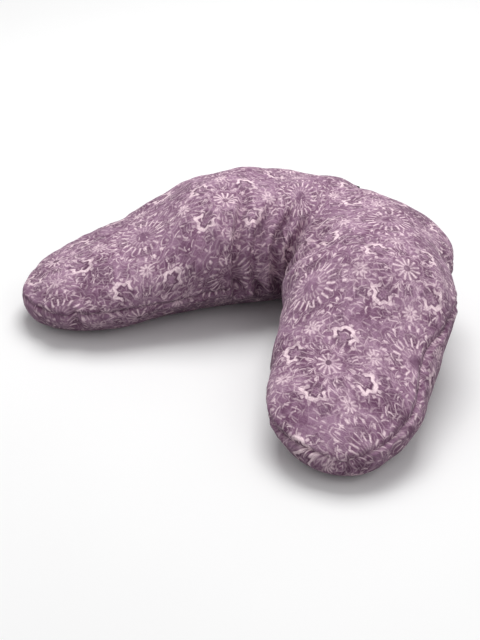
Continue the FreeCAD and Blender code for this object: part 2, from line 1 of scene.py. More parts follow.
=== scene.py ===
"""Nursing pillow: a printed, zipped cover over a sewn and filled inner case.

Metres, +Z up, arms towards -Y, resting on z = 0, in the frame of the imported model.
"""
import logging
import math
from dataclasses import dataclass, field
from enum import Enum
from functools import reduce
from typing import Optional, Sequence, Union

import bmesh
import bpy
import numpy as np
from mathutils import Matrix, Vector


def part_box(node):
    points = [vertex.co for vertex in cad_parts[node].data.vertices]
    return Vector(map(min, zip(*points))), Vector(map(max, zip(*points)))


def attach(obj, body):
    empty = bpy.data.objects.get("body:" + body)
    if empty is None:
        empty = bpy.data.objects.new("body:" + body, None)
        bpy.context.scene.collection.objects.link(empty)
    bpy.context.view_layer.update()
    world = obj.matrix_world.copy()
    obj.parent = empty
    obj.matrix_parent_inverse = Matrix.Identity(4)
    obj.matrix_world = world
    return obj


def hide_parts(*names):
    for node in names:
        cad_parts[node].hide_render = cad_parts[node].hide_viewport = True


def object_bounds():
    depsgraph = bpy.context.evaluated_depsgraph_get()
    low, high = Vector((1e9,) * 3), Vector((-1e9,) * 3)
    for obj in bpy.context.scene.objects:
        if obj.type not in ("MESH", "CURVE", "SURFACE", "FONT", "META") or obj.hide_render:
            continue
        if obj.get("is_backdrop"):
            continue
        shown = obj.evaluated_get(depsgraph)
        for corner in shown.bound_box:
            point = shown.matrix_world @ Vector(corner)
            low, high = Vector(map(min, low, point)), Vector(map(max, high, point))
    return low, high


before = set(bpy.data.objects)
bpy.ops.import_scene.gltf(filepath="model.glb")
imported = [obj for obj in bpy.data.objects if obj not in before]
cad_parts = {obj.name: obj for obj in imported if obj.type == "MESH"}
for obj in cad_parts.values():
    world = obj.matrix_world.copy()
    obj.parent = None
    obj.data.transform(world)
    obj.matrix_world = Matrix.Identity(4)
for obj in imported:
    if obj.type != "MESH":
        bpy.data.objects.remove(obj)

LOG = logging.getLogger("nursing_pillow")
Array = np.ndarray
CAD_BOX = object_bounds()

# The zip and the seam behind it lie on an upright arc about the point (0, ARC_MIDDLE).
ARC_RADIUS = 0.319
ARC_MIDDLE = -0.087
SEAM_HEIGHT = 0.110


class Side(Enum):
    """The cover and the case each have a panel on top and one underneath."""

    TOP = 1
    BOTTOM = -1


# ------------------------------------------------------------------------------------------- mesh helpers
def smooth(value: Union[Array, float], low: float, high: float) -> Array:
    """Rise smoothly from 0 at low to 1 at high: 3 t squared minus 2 t cubed."""
    t = np.clip((value - low) / (high - low), 0.0, 1.0)
    return t * t * (3.0 - 2.0 * t)


def swell(x: Array, y: Array, place: float, width: float, share: float, start: float, end: float) -> Array:
    """A bump of that share about a place in x, which fades in from start to end in y."""
    return share * np.exp(-((x - place) / width) ** 2) * smooth(y, start, end)


def stack(*parts: Array) -> Array:
    """Several coordinates, stretched to one shape, as the last axis of one array."""
    return np.stack(np.broadcast_arrays(*parts), -1)


def distances(points: Array) -> Array:
    """How far each place of a grid is along its row."""
    step = np.linalg.norm(np.diff(points, axis=1), axis=-1)
    return np.concatenate([np.zeros((len(points), 1)), np.cumsum(step, 1)], 1)


def hermite(at: Array, knots: Sequence[float], values: Sequence[float]) -> Array:
    """A smooth curve through a few values that never overshoots them.

    Cubic Hermite pieces whose slopes are the weighted harmonic means of the neighbouring slopes.

    Args:
        at: where the curve is wanted.
        knots: places of the known values, rising.
        values: the known values.
    Returns:
        The curve at each place.
    """
    x, y = np.asarray(knots, float), np.asarray(values, float)
    step, rise = np.diff(x), np.diff(y) / np.diff(x)
    slope = np.zeros_like(x)
    slope[0], slope[-1] = rise[0], rise[-1]
    before, after = 2 * step[1:] + step[:-1], step[1:] + 2 * step[:-1]
    same = rise[:-1] * rise[1:] > 0
    low, high = np.where(same, rise[:-1], 1.0), np.where(same, rise[1:], 1.0)
    slope[1:-1] = np.where(same, (before + after) / (before / low + after / high), 0.0)
    i = np.clip(np.searchsorted(x, at) - 1, 0, len(step) - 1)
    t = (at - x[i]) / step[i]
    return ((1 + 2 * t) * (1 - t) ** 2 * y[i] + t * (1 - t) ** 2 * step[i] * slope[i]
            + t * t * (3 - 2 * t) * y[i + 1] + t * t * (t - 1) * step[i] * slope[i + 1])


def grid_normals(points: Array) -> Array:
    """Unit normals of a grid surface: the cross product of its two directions of travel."""
    along, across = np.gradient(points, axis=0), np.gradient(points, axis=1)
    normal = np.cross(across, along)
    return normal / np.maximum(np.linalg.norm(normal, axis=-1, keepdims=True), 1e-12)


def ripples(points: Array, wavelength: float, seed: int, waves: int = 14) -> Array:
    """Soft, uneven waves in space: a sum of sine waves with seeded directions and lengths, about -1 to 1."""
    rng = np.random.default_rng(seed)
    direction = rng.normal(size=(waves, 3))
    direction /= np.linalg.norm(direction, axis=1, keepdims=True)
    pitch = 2 * math.pi / (wavelength * rng.uniform(0.7, 1.6, waves))
    phase = rng.uniform(0, 2 * math.pi, waves)
    return np.sin(points @ (direction * pitch[:, None]).T + phase).sum(-1) / math.sqrt(waves)


def grid_faces(rows: int, columns: int, closed_columns: bool = False) -> Array:
    """Quads of a grid, as corner numbers; its columns may close into rings."""
    i, j = np.divmod(np.arange((rows - 1) * (columns - (not closed_columns))), columns - (not closed_columns))
    k = (j + 1) % columns
    return np.stack([i * columns + j, i * columns + k, (i + 1) * columns + k, (i + 1) * columns + j], 1)


def soften(grid: Array) -> Array:
    """A grid averaged a little with its neighbours: half itself and a quarter each side, both ways."""
    grid = 0.5 * grid + 0.25 * (np.roll(grid, 1, 1) + np.roll(grid, -1, 1))
    inner = 0.5 * grid[1:-1] + 0.25 * (grid[:-2] + grid[2:])
    return np.concatenate([grid[:1], inner, grid[-1:]])


def new_piece(name: str, points: Array, faces: Array, flat: Optional[Array] = None) -> bpy.types.Object:
    """A mesh piece with smooth faces, doubles merged and normals outwards.

    Args:
        name: the piece's name.
        points: corner places, any shape ending in 3.
        faces: corner numbers of each face.
        flat: cloth coordinates of each corner, in metres, for the piece's UV map.
    Returns:
        The new object, at the origin.
    """
    mesh = bpy.data.meshes.new(name)
    mesh.from_pydata(points.reshape(-1, 3), [], faces.tolist())
    if flat is not None:
        corner = np.empty(len(mesh.loops), np.int32)
        mesh.loops.foreach_get("vertex_index", corner)
        layer = mesh.uv_layers.new(name="Cloth").data
        layer.foreach_set("uv", flat.reshape(-1, 2)[corner].astype(np.float32).ravel())
    mesh.polygons.foreach_set("use_smooth", np.ones(len(mesh.polygons), bool))
    piece = bpy.data.objects.new(name, mesh)
    bpy.context.scene.collection.objects.link(piece)
    tidy_mesh(mesh)
    return piece


def tidy_mesh(mesh: bpy.types.Mesh, distance: float = 1e-6) -> None:
    """Merge points that lie on each other, drop the empty faces this leaves, and turn all faces outwards."""
    work = bmesh.new()
    work.from_mesh(mesh)
    bmesh.ops.remove_doubles(work, verts=work.verts, dist=distance)
    bmesh.ops.dissolve_degenerate(work, edges=work.edges, dist=distance / 10)
    bmesh.ops.recalc_face_normals(work, faces=work.faces)
    work.to_mesh(mesh)
    work.free()
    mesh.update()


def shell(piece: bpy.types.Object, thickness: float) -> None:
    """Give a one-sided cloth piece its thickness, inwards, and apply it."""
    modifier = piece.modifiers.new("thickness", "SOLIDIFY")
    modifier.thickness, modifier.offset, modifier.use_rim = thickness, -1.0, True
    graph = bpy.context.evaluated_depsgraph_get()
    mesh = bpy.data.meshes.new_from_object(piece.evaluated_get(graph), depsgraph=graph)
    piece.modifiers.clear()
    old, piece.data = piece.data, mesh
    bpy.data.meshes.remove(old)


def tube(name: str, path: Array, radius: float, sides: int = 6) -> bpy.types.Object:
    """A round thread or wire: a circle carried along a path, square to it, with closed ends."""
    forward = np.gradient(path, axis=0)
    forward /= np.linalg.norm(forward, axis=1, keepdims=True)
    guide = np.where(np.abs(forward[:, 2:]) > 0.95, [[1.0, 0, 0]], [[0, 0, 1.0]])
    right = np.cross(forward, guide)
    right /= np.linalg.norm(right, axis=1, keepdims=True)
    up = np.cross(right, forward)
    angle = np.linspace(0, 2 * math.pi, sides, endpoint=False)
    ring = (path[:, None] + right[:, None] * np.cos(angle)[None, :, None] * radius
            + up[:, None] * np.sin(angle)[None, :, None] * radius)
    ring[0], ring[-1] = path[0], path[-1]
    return new_piece(name, ring, grid_faces(len(path), sides, closed_columns=True))


# ------------------------------------------------------------------------------------------- node helpers
def feed(tree: bpy.types.NodeTree, socket: bpy.types.NodeSocket, value: object) -> None:
    """Link a number or another socket to a socket, or set it to a plain value."""
    if isinstance(value, Num):
        value = value.socket
    if isinstance(value, bpy.types.NodeSocket):
        tree.links.new(value, socket)
    else:
        socket.default_value = value


@dataclass(frozen=True)
class Num:
    """A number inside a node tree, with ordinary arithmetic."""

    tree: bpy.types.NodeTree
    socket: bpy.types.NodeSocket

    def op(self, kind: str, *others: Union["Num", float], clamp: bool = False) -> "Num":
        """One Math node with this number first."""
        node = self.tree.nodes.new("ShaderNodeMath")
        node.operation, node.use_clamp = kind, clamp
        for socket, value in zip(node.inputs, (self, *others)):
            feed(self.tree, socket, value)
        return Num(self.tree, node.outputs[0])

    def __add__(self, other: Union["Num", float]) -> "Num":
        """Sum."""
        return self.op("ADD", other)

    def __sub__(self, other: Union["Num", float]) -> "Num":
        """Difference."""
        return self.op("SUBTRACT", other)

    def __mul__(self, other: Union["Num", float]) -> "Num":
        """Product."""
        return self.op("MULTIPLY", other)

    def __truediv__(self, other: Union["Num", float]) -> "Num":
        """Quotient."""
        return self.op("DIVIDE", other)

    def wrap(self, half: float) -> "Num":
        """Repeat between -half and half."""
        return self.op("WRAP", half, -half)

    def step(self, low: float, high: float) -> "Num":
        """Rise smoothly from 0 at low to 1 at high, or fall where high is below low."""
        node = self.tree.nodes.new("ShaderNodeMapRange")
        node.interpolation_type = "SMOOTHSTEP"
        self.tree.links.new(self.socket, node.inputs["Value"])
        first, last = (low, high) if low < high else (high, low)
        node.inputs["From Min"].default_value, node.inputs["From Max"].default_value = first, last
        node.inputs["To Min"].default_value = 0.0 if low < high else 1.0
        node.inputs["To Max"].default_value = 1.0 if low < high else 0.0
        return Num(self.tree, node.outputs["Result"])

    def band(self, low: float, high: float, soft: float) -> "Num":
        """1 between low and high, fading over soft on both sides."""
        return self.step(low - soft, low + soft) * self.step(high + soft, high - soft)

    def line(self, width: "Union[Num, float]", soft: float) -> "Num":
        """1 where the size of this number is under half of width, with a soft edge."""
        return (self.op("ABSOLUTE") - width * 0.5).step(soft, -soft)


@dataclass(frozen=True)
class Nodes:
    """Shortcuts for one node tree."""

    tree: bpy.types.NodeTree

    def add(self, kind: str, **settings: object) -> bpy.types.Node:
        """A new node with its settings."""
        node = self.tree.nodes.new(kind)
        for name, value in settings.items():
            setattr(node, name, value)
        return node

    def put(self, node: bpy.types.Node, socket: str, value: object) -> None:
        """Set or link one input."""
        feed(self.tree, node.inputs[socket], value)

    def parts(self, vector: bpy.types.NodeSocket) -> tuple[Num, Num, Num]:
        """The three parts of a vector."""
        node = self.add("ShaderNodeSeparateXYZ")
        self.tree.links.new(vector, node.inputs[0])
        return tuple(Num(self.tree, out) for out in node.outputs)

    def vector(self, x: object, y: object, z: object = 0.0) -> bpy.types.NodeSocket:
        """A vector from three numbers."""
        node = self.add("ShaderNodeCombineXYZ")
        for name, value in zip("XYZ", (x, y, z)):
            self.put(node, name, value)
        return node.outputs[0]

    def noise(self, vector: object, scale: object, detail: float = 2.0, rough: float = 0.5) -> Num:
        """Soft noise, 0 to 1."""
        node = self.add("ShaderNodeTexNoise")
        for name, value in (("Vector", vector), ("Scale", scale), ("Detail", detail), ("Roughness", rough)):
            self.put(node, name, value)
        return Num(self.tree, node.outputs["Fac"])

    def blend(self, fac: object, first: object, second: object, mode: str = "MIX") -> bpy.types.NodeSocket:
        """Two colours mixed."""
        node = self.add("ShaderNodeMix", data_type="RGBA", blend_type=mode)
        colours = [s for s in node.inputs if s.type == "RGBA"]
        for socket, value in zip([node.inputs[0], *colours], (fac, first, second)):
            feed(self.tree, socket, value)
        return next(s for s in node.outputs if s.type == "RGBA")

    def place(self, group: bpy.types.NodeTree, **values: object) -> bpy.types.Node:
        """A placed node group with values on its sockets; underscores stand for spaces."""
        node = self.add("ShaderNodeGroup", node_tree=group)
        for name, value in values.items():
            self.put(node, name.replace("_", " "), value)
        return node

    def bump(self, height: object, distance: float, strength: float = 1.0,
             under: Optional[bpy.types.NodeSocket] = None) -> bpy.types.NodeSocket:
        """A bumped normal from a height between 0 and 1, distance metres tall."""
        node = self.add("ShaderNodeBump")
        self.put(node, "Height", height)
        self.put(node, "Distance", distance)
        self.put(node, "Strength", strength)
        if under is not None:
            self.put(node, "Normal", under)
        return node.outputs["Normal"]


def new_group(name: str, inputs: dict[str, object],
              outputs: dict[str, str]) -> tuple[Nodes, dict, bpy.types.Node]:
    """An empty shader node group with named sockets.

    Args:
        name: the group's name.
        inputs: socket names with a default number, or None for a vector.
        outputs: socket names with "Float" or "Color".
    Returns:
        Its nodes, its inputs by name, and its output node.
    """
    tree = bpy.data.node_groups.new(name, "ShaderNodeTree")
    for label, default in inputs.items():
        kind = "NodeSocketVector" if default is None else "NodeSocketFloat"
        socket = tree.interface.new_socket(label, in_out="INPUT", socket_type=kind)
        if default is not None:
            socket.default_value = default
    for label, kind in outputs.items():
        tree.interface.new_socket(label, in_out="OUTPUT", socket_type="NodeSocket" + kind)
    source, sink = tree.nodes.new("NodeGroupInput"), tree.nodes.new("NodeGroupOutput")
    found = {s.name: s if inputs[s.name] is None else Num(tree, s)
             for s in source.outputs if s.name in inputs}
    return Nodes(tree), found, sink


def weave_group() -> bpy.types.NodeTree:
    """Plain weave: warp and weft humps that pass over and under each other, and how light each thread is."""
    n, given, out = new_group("plain weave", {"Vector": None, "Pitch": 0.001},
                              {"Height": "Float", "Thread": "Float"})
    x, y, _ = n.parts(given["Vector"])
    turn = given["Pitch"].op("DIVIDE", math.pi)
    sx, sy = (x / turn).op("SINE"), (y / turn).op("SINE")
    height = sx * sy * 0.3 + sx.op("ABSOLUTE") * 0.25 + sy.op("ABSOLUTE") * 0.25 + 0.25
    slub_x = n.noise(n.vector(x * 60.0, y * 900.0), 1.0)
    slub_y = n.noise(n.vector(x * 900.0, y * 60.0), 1.0)
    n.put(out, "Height", height + (slub_x + slub_y) * 0.15)
    n.put(out, "Thread", (slub_x + slub_y) * 0.5)
    return n.tree


def wear_group() -> bpy.types.NodeTree:
    """Fine scratches and rubbed patches: stretched noise over soft noise, 0 to 1."""
    n, given, out = new_group("rub and scratch", {"Vector": None, "Scale": 400.0}, {"Rub": "Float"})
    x, y, z = n.parts(given["Vector"])
    soft = n.noise(given["Vector"], given["Scale"], 3.0)
    fine = n.noise(n.vector(x, y * 6.0, z * 6.0), given["Scale"] * 3.0, 2.0)
    n.put(out, "Rub", (soft * 0.6 + fine * 0.4).step(0.42, 0.66))
    return n.tree


# Straight strokes round a motif's middle: motif, how many, turn, width in strokes, start, end (mm), strength.
RAYS = (
    ("daisy", 20, 0.0, 0.55, 11.0, 20.0, 0.5), ("daisy", 20, 0.157, 0.8, 21.0, 33.0, 1.0),
    ("daisy", 24, 0.0, 1.1, 42.0, 48.0, 0.9), ("daisy", 28, 0.1, 0.8, 60.0, 67.0, 0.7),
    ("daisy", 40, 0.06, 0.6, 71.0, 84.0, 0.55), ("star", 12, 0.26, 0.8, 26.0, 31.0, 0.8),
    ("star", 24, 0.13, 0.6, 33.0, 43.0, 0.6), ("burst", 10, 0.0, 0.8, 3.2, 11.0, 0.85),
    ("burst", 14, 0.3, 0.6, 17.0, 24.0, 0.6))
# Wavy rings round it: motif, petals, radius, bulge (mm), width in strokes, strength.
SCALLOPS = (
    ("daisy", 20, 32.0, 5.0, 0.5, 0.34), ("daisy", 14, 50.0, 7.0, 0.55, 0.3),
    ("star", 12, 19.0, 4.5, 0.6, 0.36), ("burst", 10, 12.5, 3.0, 0.5, 0.3))
# Petal tips, which keep only part of such a ring: as above, then where they start and end (mm).
PETALS = (("star", 12, 20.0, 13.0, 0.7, 0.75, 22.0, 31.0), ("daisy", 14, 36.0, 16.0, 0.7, 0.7, 39.0, 50.0))
# Where each motif's lattice has a corner and half of its cell (mm).
LATTICES = {"daisy": (-40.0, -53.0, 90.0), "star": (50.0, 37.0, 90.0), "burst": (5.0, -8.0, 45.0)}


def print_group() -> bpy.types.NodeTree:
    """The cover's resist-dyed print: a lattice of open daisies, stars, small bursts, broken rings and dashes.

    The cloth is laid out in millimetres and bent a little by noise so that no stroke is straight. Daisies
    stand at the corners of a square lattice and stars at its middles. Each motif is a function of distance
    and angle about the nearest lattice point, and the rings are folded into one eighth of the cell, so they
    repeat round each star.
    """
    n, given, out = new_group("resist print", {"Vector": None, "Stroke": 2.9, "Wobble": 3.0},
                              {"Pale": "Float", "Dark": "Float", "Tone": "Float"})
    stroke, wobble, soft, fifth = given["Stroke"], given["Wobble"], 1.1, math.pi / 5.0
    u, v, _ = n.parts(given["Vector"])
    u, v = u * 1000.0, v * 1000.0
    flat, other = n.vector(u, v), n.vector(v, u, 31.0)

    def bend(where: bpy.types.NodeSocket) -> Num:
        """How far the print is pushed about: slow noise and a little quick noise."""
        return (n.noise(where, 0.02, 1.0) - 0.5) * wobble * 4.0 + (n.noise(where, 0.12, 1.0) - 0.5) * wobble

    def polar(x: Num, y: Num) -> tuple[Num, Num]:
        """Distance and angle of a place."""
        return (x * x + y * y).op("SQRT"), y.op("ARCTAN2", x)

    def rays(r: Num, angle: Num, count: int, width: Num, start: float, end: float) -> Num:
        """Strokes of that width pointing at the middle, from start to end."""
        away = r * (angle * (count / 2.0)).op("SINE") * (2.0 / count)
        return away.line(width, soft) * r.band(start, end, 1.2)

    def scallops(r: Num, angle: Num, count: int, size: float, bulge: float, width: float, edge: float) -> Num:
        """A ring of thin petals: its radius swells count times round it."""
        swell = (angle * (count / 2.0)).op("COSINE").op("ABSOLUTE") * bulge
        return (r - swell - size).line(stroke * width, edge)

    def most(marks: Sequence[Num]) -> Num:
        """The strongest of several marks."""
        return reduce(lambda first, second: first.op("MAXIMUM", second), marks)

    px, py = u + v * 0.07 + bend(flat), v * 1.08 - u * 0.07 + bend(other)
    spot = {name: ((px - x).wrap(half), (py - y).wrap(half)) for name, (x, y, half) in LATTICES.items()}
    at = {name: polar(x, y) for name, (x, y) in spot.items()}
    pale = [rays(at[name][0], at[name][1] + turn, count, stroke * width, start, end) * strength
            for name, count, turn, width, start, end, strength in RAYS]
    pale += [scallops(*at[name], count, size, bulge, width, soft) * strength
             for name, count, size, bulge, width, strength in SCALLOPS]
    pale += [scallops(*at[name], count, size, bulge, width, 1.0) * at[name][0].band(start, end, 2.0) * strength
             for name, count, size, bulge, width, strength, start, end in PETALS]
    star_r, star_angle = at["star"]
    pale.append(rays(star_r, star_angle, 12, star_r * 0.1 + stroke * 0.35, 4.5, 17.5))

    ax, ay = (part.op("ABSOLUTE") for part in spot["star"])
    far, near = ax.op("MAXIMUM", ay), ax.op("MINIMUM", ay)
    ring_r, ring_angle = polar(far - 49.0, near)
    ring = ring_r * (ring_angle + fifth).wrap(fifth).op("COSINE") + (ring_angle * 7.0).op("COSINE") * 1.3
    comb_teeth = (ring_angle * 9.0).op("COSINE").step(0.2, 0.8)
    pale += [(ring - 12.5).line(stroke * 1.75, soft) * (far - 49.0).step(-9.0, -4.0),
             (ring - 5.5).line(stroke * 0.5, soft) * 0.3,
             (ring_r - 19.0).line(4.5, 1.2) * comb_teeth * 0.7]

    kite = (ax - 90.0).op("ABSOLUTE") * 0.9 + ay
    bx, by = ((part.op("ABSOLUTE") - 22.5).op("ABSOLUTE") for part in spot["burst"])
    arrow = bx + by * 1.15
    pale += [kite.wrap(3.3).line(stroke * 0.4, soft) * kite.step(27.0, 22.0) * 0.36,
             arrow.wrap(3.4).line(stroke * 0.4, soft) * arrow.step(17.0, 13.0) * 0.34,
             (far * 0.92 + near * 0.4).wrap(7.5).line(stroke * 0.4, soft) * 0.2,
             (far * 0.35 - near * 0.95).wrap(6.0).line(stroke * 0.35, soft) * 0.17]

    cells = n.add("ShaderNodeTexVoronoi", feature="F1")
    n.put(cells, "Vector", n.vector(px, py))
    n.put(cells, "Scale", 1.0 / 10.5)
    cell_x, cell_y, _ = n.parts(cells.outputs["Position"])
    red, green, _ = n.parts(cells.outputs["Color"])
    spin = red * math.pi
    x, y = px - cell_x, py - cell_y
    along = x * spin.op("COSINE") + y * spin.op("SINE")
    across = y * spin.op("COSINE") - x * spin.op("SINE") + along * along * 0.05
    dash = along.line(green * 13.0 + 4.0, 2.0) * across.line(stroke * 0.6, 0.9)
    pale.append(dash * green.step(0.2, 0.8) * 0.8)

    dark = [at["daisy"][0].step(12.0, 8.0) * 0.35, star_r.step(5.2, 3.4) * 0.9, kite.step(30.0, 19.0) * 0.7,
            (ring - 9.5).line(8.0, 2.0) * 0.7, arrow.step(15.0, 8.0) * 0.6]
    grain = n.noise(flat, 0.35, 2.0, 0.6).step(0.25, 0.7) * 0.4 + 0.7
    patchy = n.noise(flat, 0.06, 3.0, 0.6).step(0.3, 0.62) * 0.62 + 0.42
    n.put(out, "Pale", most(pale) * patchy * grain)
    n.put(out, "Dark", most(dark) * (n.noise(other, 0.05, 2.0).step(0.3, 0.6) * 0.6 + 0.35))
    tone = n.noise(flat, 0.02, 2.0, 0.6) * 0.45 + n.noise(flat, 0.09, 4.0, 0.7) * 0.55
    n.put(out, "Tone", tone.step(0.36, 0.64))
    return n.tree


# ------------------------------------------------------------------------------------------------ finishes
def srgb(red: int, green: int, blue: int) -> tuple[float, float, float, float]:
    """A colour given as it looks on a screen, 0 to 255, in linear light."""
    values = np.array([red, green, blue]) / 255.0
    linear = np.where(values <= 0.04045, values / 12.92, ((values + 0.055) / 1.055) ** 2.4)
    return (*linear.tolist(), 1.0)


@dataclass(frozen=True)
class Groups:
    """The shared effects, built once."""

    weave: bpy.types.NodeTree
    wear: bpy.types.NodeTree
    motif: bpy.types.NodeTree


def new_material(name: str, **shader: float) -> tuple[bpy.types.Material, Nodes, bpy.types.Node]:
    """A material with an empty Principled BSDF and constant values on its sockets.

    Args:
        name: the material's name.
        shader: socket names, with underscores for spaces, and their constant values.
    Returns:
        The material, its nodes and its shader.
    """
    material = bpy.data.materials.new(name)
    material.use_nodes = True
    material.node_tree.nodes.clear()
    n = Nodes(material.node_tree)
    bsdf, out = n.add("ShaderNodeBsdfPrincipled"), n.add("ShaderNodeOutputMaterial")
    n.tree.links.new(bsdf.outputs[0], out.inputs[0])
    for socket, value in shader.items():
        bsdf.inputs[socket.replace("_", " ")].default_value = value
    return material, n, bsdf


@dataclass(frozen=True)
class PrintedCotton:
    """The cover's cloth: mauve cotton with the resist print and an open crosswise weave."""

    deep: tuple = srgb(88, 54, 80)
    low: tuple = srgb(117, 80, 107)
    mid: tuple = srgb(163, 128, 153)
    pale: tuple = srgb(250, 224, 232)
    pitch: float = 0.0013
    rib: float = 0.0031

    def make(self, groups: Groups) -> bpy.types.Material:
        """Build the material."""
        mat, n, bsdf = new_material("printed cotton", Sheen_Weight=0.1, Sheen_Roughness=0.4,
                                    Specular_IOR_Level=0.15)
        cloth = n.add("ShaderNodeUVMap", uv_map="Cloth").outputs[0]
        marks = n.place(groups.motif, Vector=cloth)
        weave = n.place(groups.weave, Vector=cloth, Pitch=self.pitch)
        u, v, _ = n.parts(cloth)
        rib = n.place(groups.weave, Vector=n.vector(u + v, u - v), Pitch=self.rib)
        base = n.blend(marks.outputs["Tone"], self.low, self.mid)
        base = n.blend(marks.outputs["Dark"], base, self.deep)
        base = n.blend(marks.outputs["Pale"], base, self.pale)
        thread = Num(n.tree, rib.outputs["Height"]) * 0.65 + Num(n.tree, weave.outputs["Thread"]) * 0.35
        shade = thread.step(0.25, 0.65) * 0.42 + 0.68
        n.put(bsdf, "Base Color", n.blend(1.0, base, n.vector(shade, shade, shade), "MULTIPLY"))
        n.put(bsdf, "Roughness", Num(n.tree, weave.outputs["Thread"]) * 0.15 + 0.8)
        coarse = n.bump(rib.outputs["Height"], 0.0005, 0.7)
        n.put(bsdf, "Normal", n.bump(weave.outputs["Height"], 0.0002, 0.7, coarse))
        return mat


@dataclass(frozen=True)
class PlainCloth:
    """A woven cloth in one dye, with slubs and a little unevenness."""

    name: str
    light: tuple
    dark: tuple
    pitch: float
    rough: float = 0.85
    sheen: float = 0.2

    def make(self, groups: Groups) -> bpy.types.Material:
        """Build the material."""
        mat, n, bsdf = new_material(self.name, Sheen_Weight=self.sheen, Sheen_Roughness=0.45,
                                    Specular_IOR_Level=0.25)
        where = n.add("ShaderNodeUVMap", uv_map="Cloth").outputs[0]
        weave = n.place(groups.weave, Vector=where, Pitch=self.pitch)
        thread = Num(n.tree, weave.outputs["Thread"]) * 0.5 + Num(n.tree, weave.outputs["Height"]) * 0.5
        n.put(bsdf, "Base Color", n.blend(thread.step(0.25, 0.75), self.dark, self.light))
        n.put(bsdf, "Roughness", thread * 0.1 + (self.rough - 0.05))
        n.put(bsdf, "Normal", n.bump(weave.outputs["Height"], self.pitch * 0.2, 0.8))
        return mat


@dataclass(frozen=True)
class Fibre:
    """Loose fibre filling: white, cloudy and matt."""

    light: tuple = srgb(244, 243, 239)
    dark: tuple = srgb(214, 212, 206)

    def make(self) -> bpy.types.Material:
        """Build the material."""
        mat, n, bsdf = new_material("fibre filling", Roughness=0.95, Sheen_Weight=0.4, Specular_IOR_Level=0.1)
        where = n.add("ShaderNodeTexCoord").outputs["Object"]
        tuft = n.noise(where, 90.0, 6.0, 0.7)
        n.put(bsdf, "Base Color", n.blend(tuft.step(0.35, 0.65), self.dark, self.light))
        n.put(bsdf, "Normal", n.bump(tuft, 0.004, 0.8))
        return mat


@dataclass(frozen=True)
class Enamel:
    """Painted die-cast metal that is rubbed bright where hands touch it, or plain moulded nylon."""

    name: str
    paint: tuple
    rubbed: tuple
    metallic: float = 0.0
    rough: float = 0.35

    def make(self, groups: Groups) -> bpy.types.Material:
        """Build the material."""
        mat, n, bsdf = new_material(self.name, Coat_Roughness=0.2)
        where = n.add("ShaderNodeTexCoord").outputs["Object"]
        rub = Num(n.tree, n.place(groups.wear, Vector=where, Scale=500.0).outputs["Rub"])
        n.put(bsdf, "Base Color", n.blend(rub * 0.35, self.paint, self.rubbed))
        n.put(bsdf, "Metallic", rub * self.metallic)
        n.put(bsdf, "Roughness", rub * 0.15 + self.rough)
        n.put(bsdf, "Normal", n.bump(rub, 0.00003, 0.5))
        return mat


@dataclass(frozen=True)
class TabClothPaintedShadow:
    """The seam tab's tape: pale grey, woven across, with its far end painted near-black as the shadow beneath
    the loop.
    """

    grey: tuple = srgb(172, 150, 166)
    # near-black painted shadow, standing in for the shade beneath the loop at the tape's end
    dark: tuple = srgb(30, 26, 30)
    start: float = 0.0225

    def make(self, groups: Groups) -> bpy.types.Material:
        """Build the material; the painted shadow on the end starts part of the way along the tape's width."""
        mat, n, bsdf = new_material("tab tape with painted shadow", Roughness=0.8, Sheen_Weight=0.15, Specular_IOR_Level=0.25)
        where = n.add("ShaderNodeUVMap", uv_map="Cloth").outputs[0]
        across, _, _ = n.parts(where)
        weave = n.place(groups.weave, Vector=where, Pitch=0.0009)
        # painted shadow: past start, across the width, the tape's colour is mixed to near-black
        base = n.blend(across.step(self.start, self.start + 0.0006), self.grey, self.dark)
        shade = Num(n.tree, weave.outputs["Height"]) * 0.35 + 0.75
        n.put(bsdf, "Base Color", n.blend(1.0, base, n.vector(shade, shade, shade), "MULTIPLY"))
        n.put(bsdf, "Normal", n.bump(weave.outputs["Height"], 0.0002, 0.8))
        return mat


# ------------------------------------------------------------------------------------------------ the form
@dataclass(frozen=True)
class Crease:
    """A fold seen from above: a valley from start to end, steep on its left and gentle on its right."""

    start: tuple[float, float]
    end: tuple[float, float]
    depth: float
    steep: float = 0.004
    gentle: float = 0.014
    swell: float = 0.35
    low: float = 0.0
    high: float = 0.2

    def push(self, points: Array) -> Array:
        """How far the fold moves the surface outwards.

        A valley, exp of minus the squared distance over the width squared, with a swell beside it, both fading
        to nothing at the ends of the line.

        Args:
            points: places on the surface.
        Returns:
            Outward distance at each place, negative in the valley.
        """
        a, b = np.array(self.start), np.array(self.end)
        run = b - a
        length = float(np.linalg.norm(run))
        ahead = (points[..., :2] - a) @ run / length ** 2
        left = ((points[..., 0] - a[0]) * -run[1] + (points[..., 1] - a[1]) * run[0]) / length
        width = np.where(left > 0, self.steep, self.gentle)
        fade = smooth(ahead, -0.12, 0.12) * (1 - smooth(ahead, 0.45, 1.08))
        z = points[..., 2]
        tall = smooth(z, self.low - 0.012, self.low + 0.012)
        tall = tall * (1 - smooth(z, self.high - 0.01, self.high + 0.01))
        valley = -np.exp(-(left / width) ** 2)
        swell = self.swell * np.exp(-((np.abs(left) - 2.1 * width) / (1.3 * width)) ** 2)
        return self.depth * fade * tall * (valley + swell)


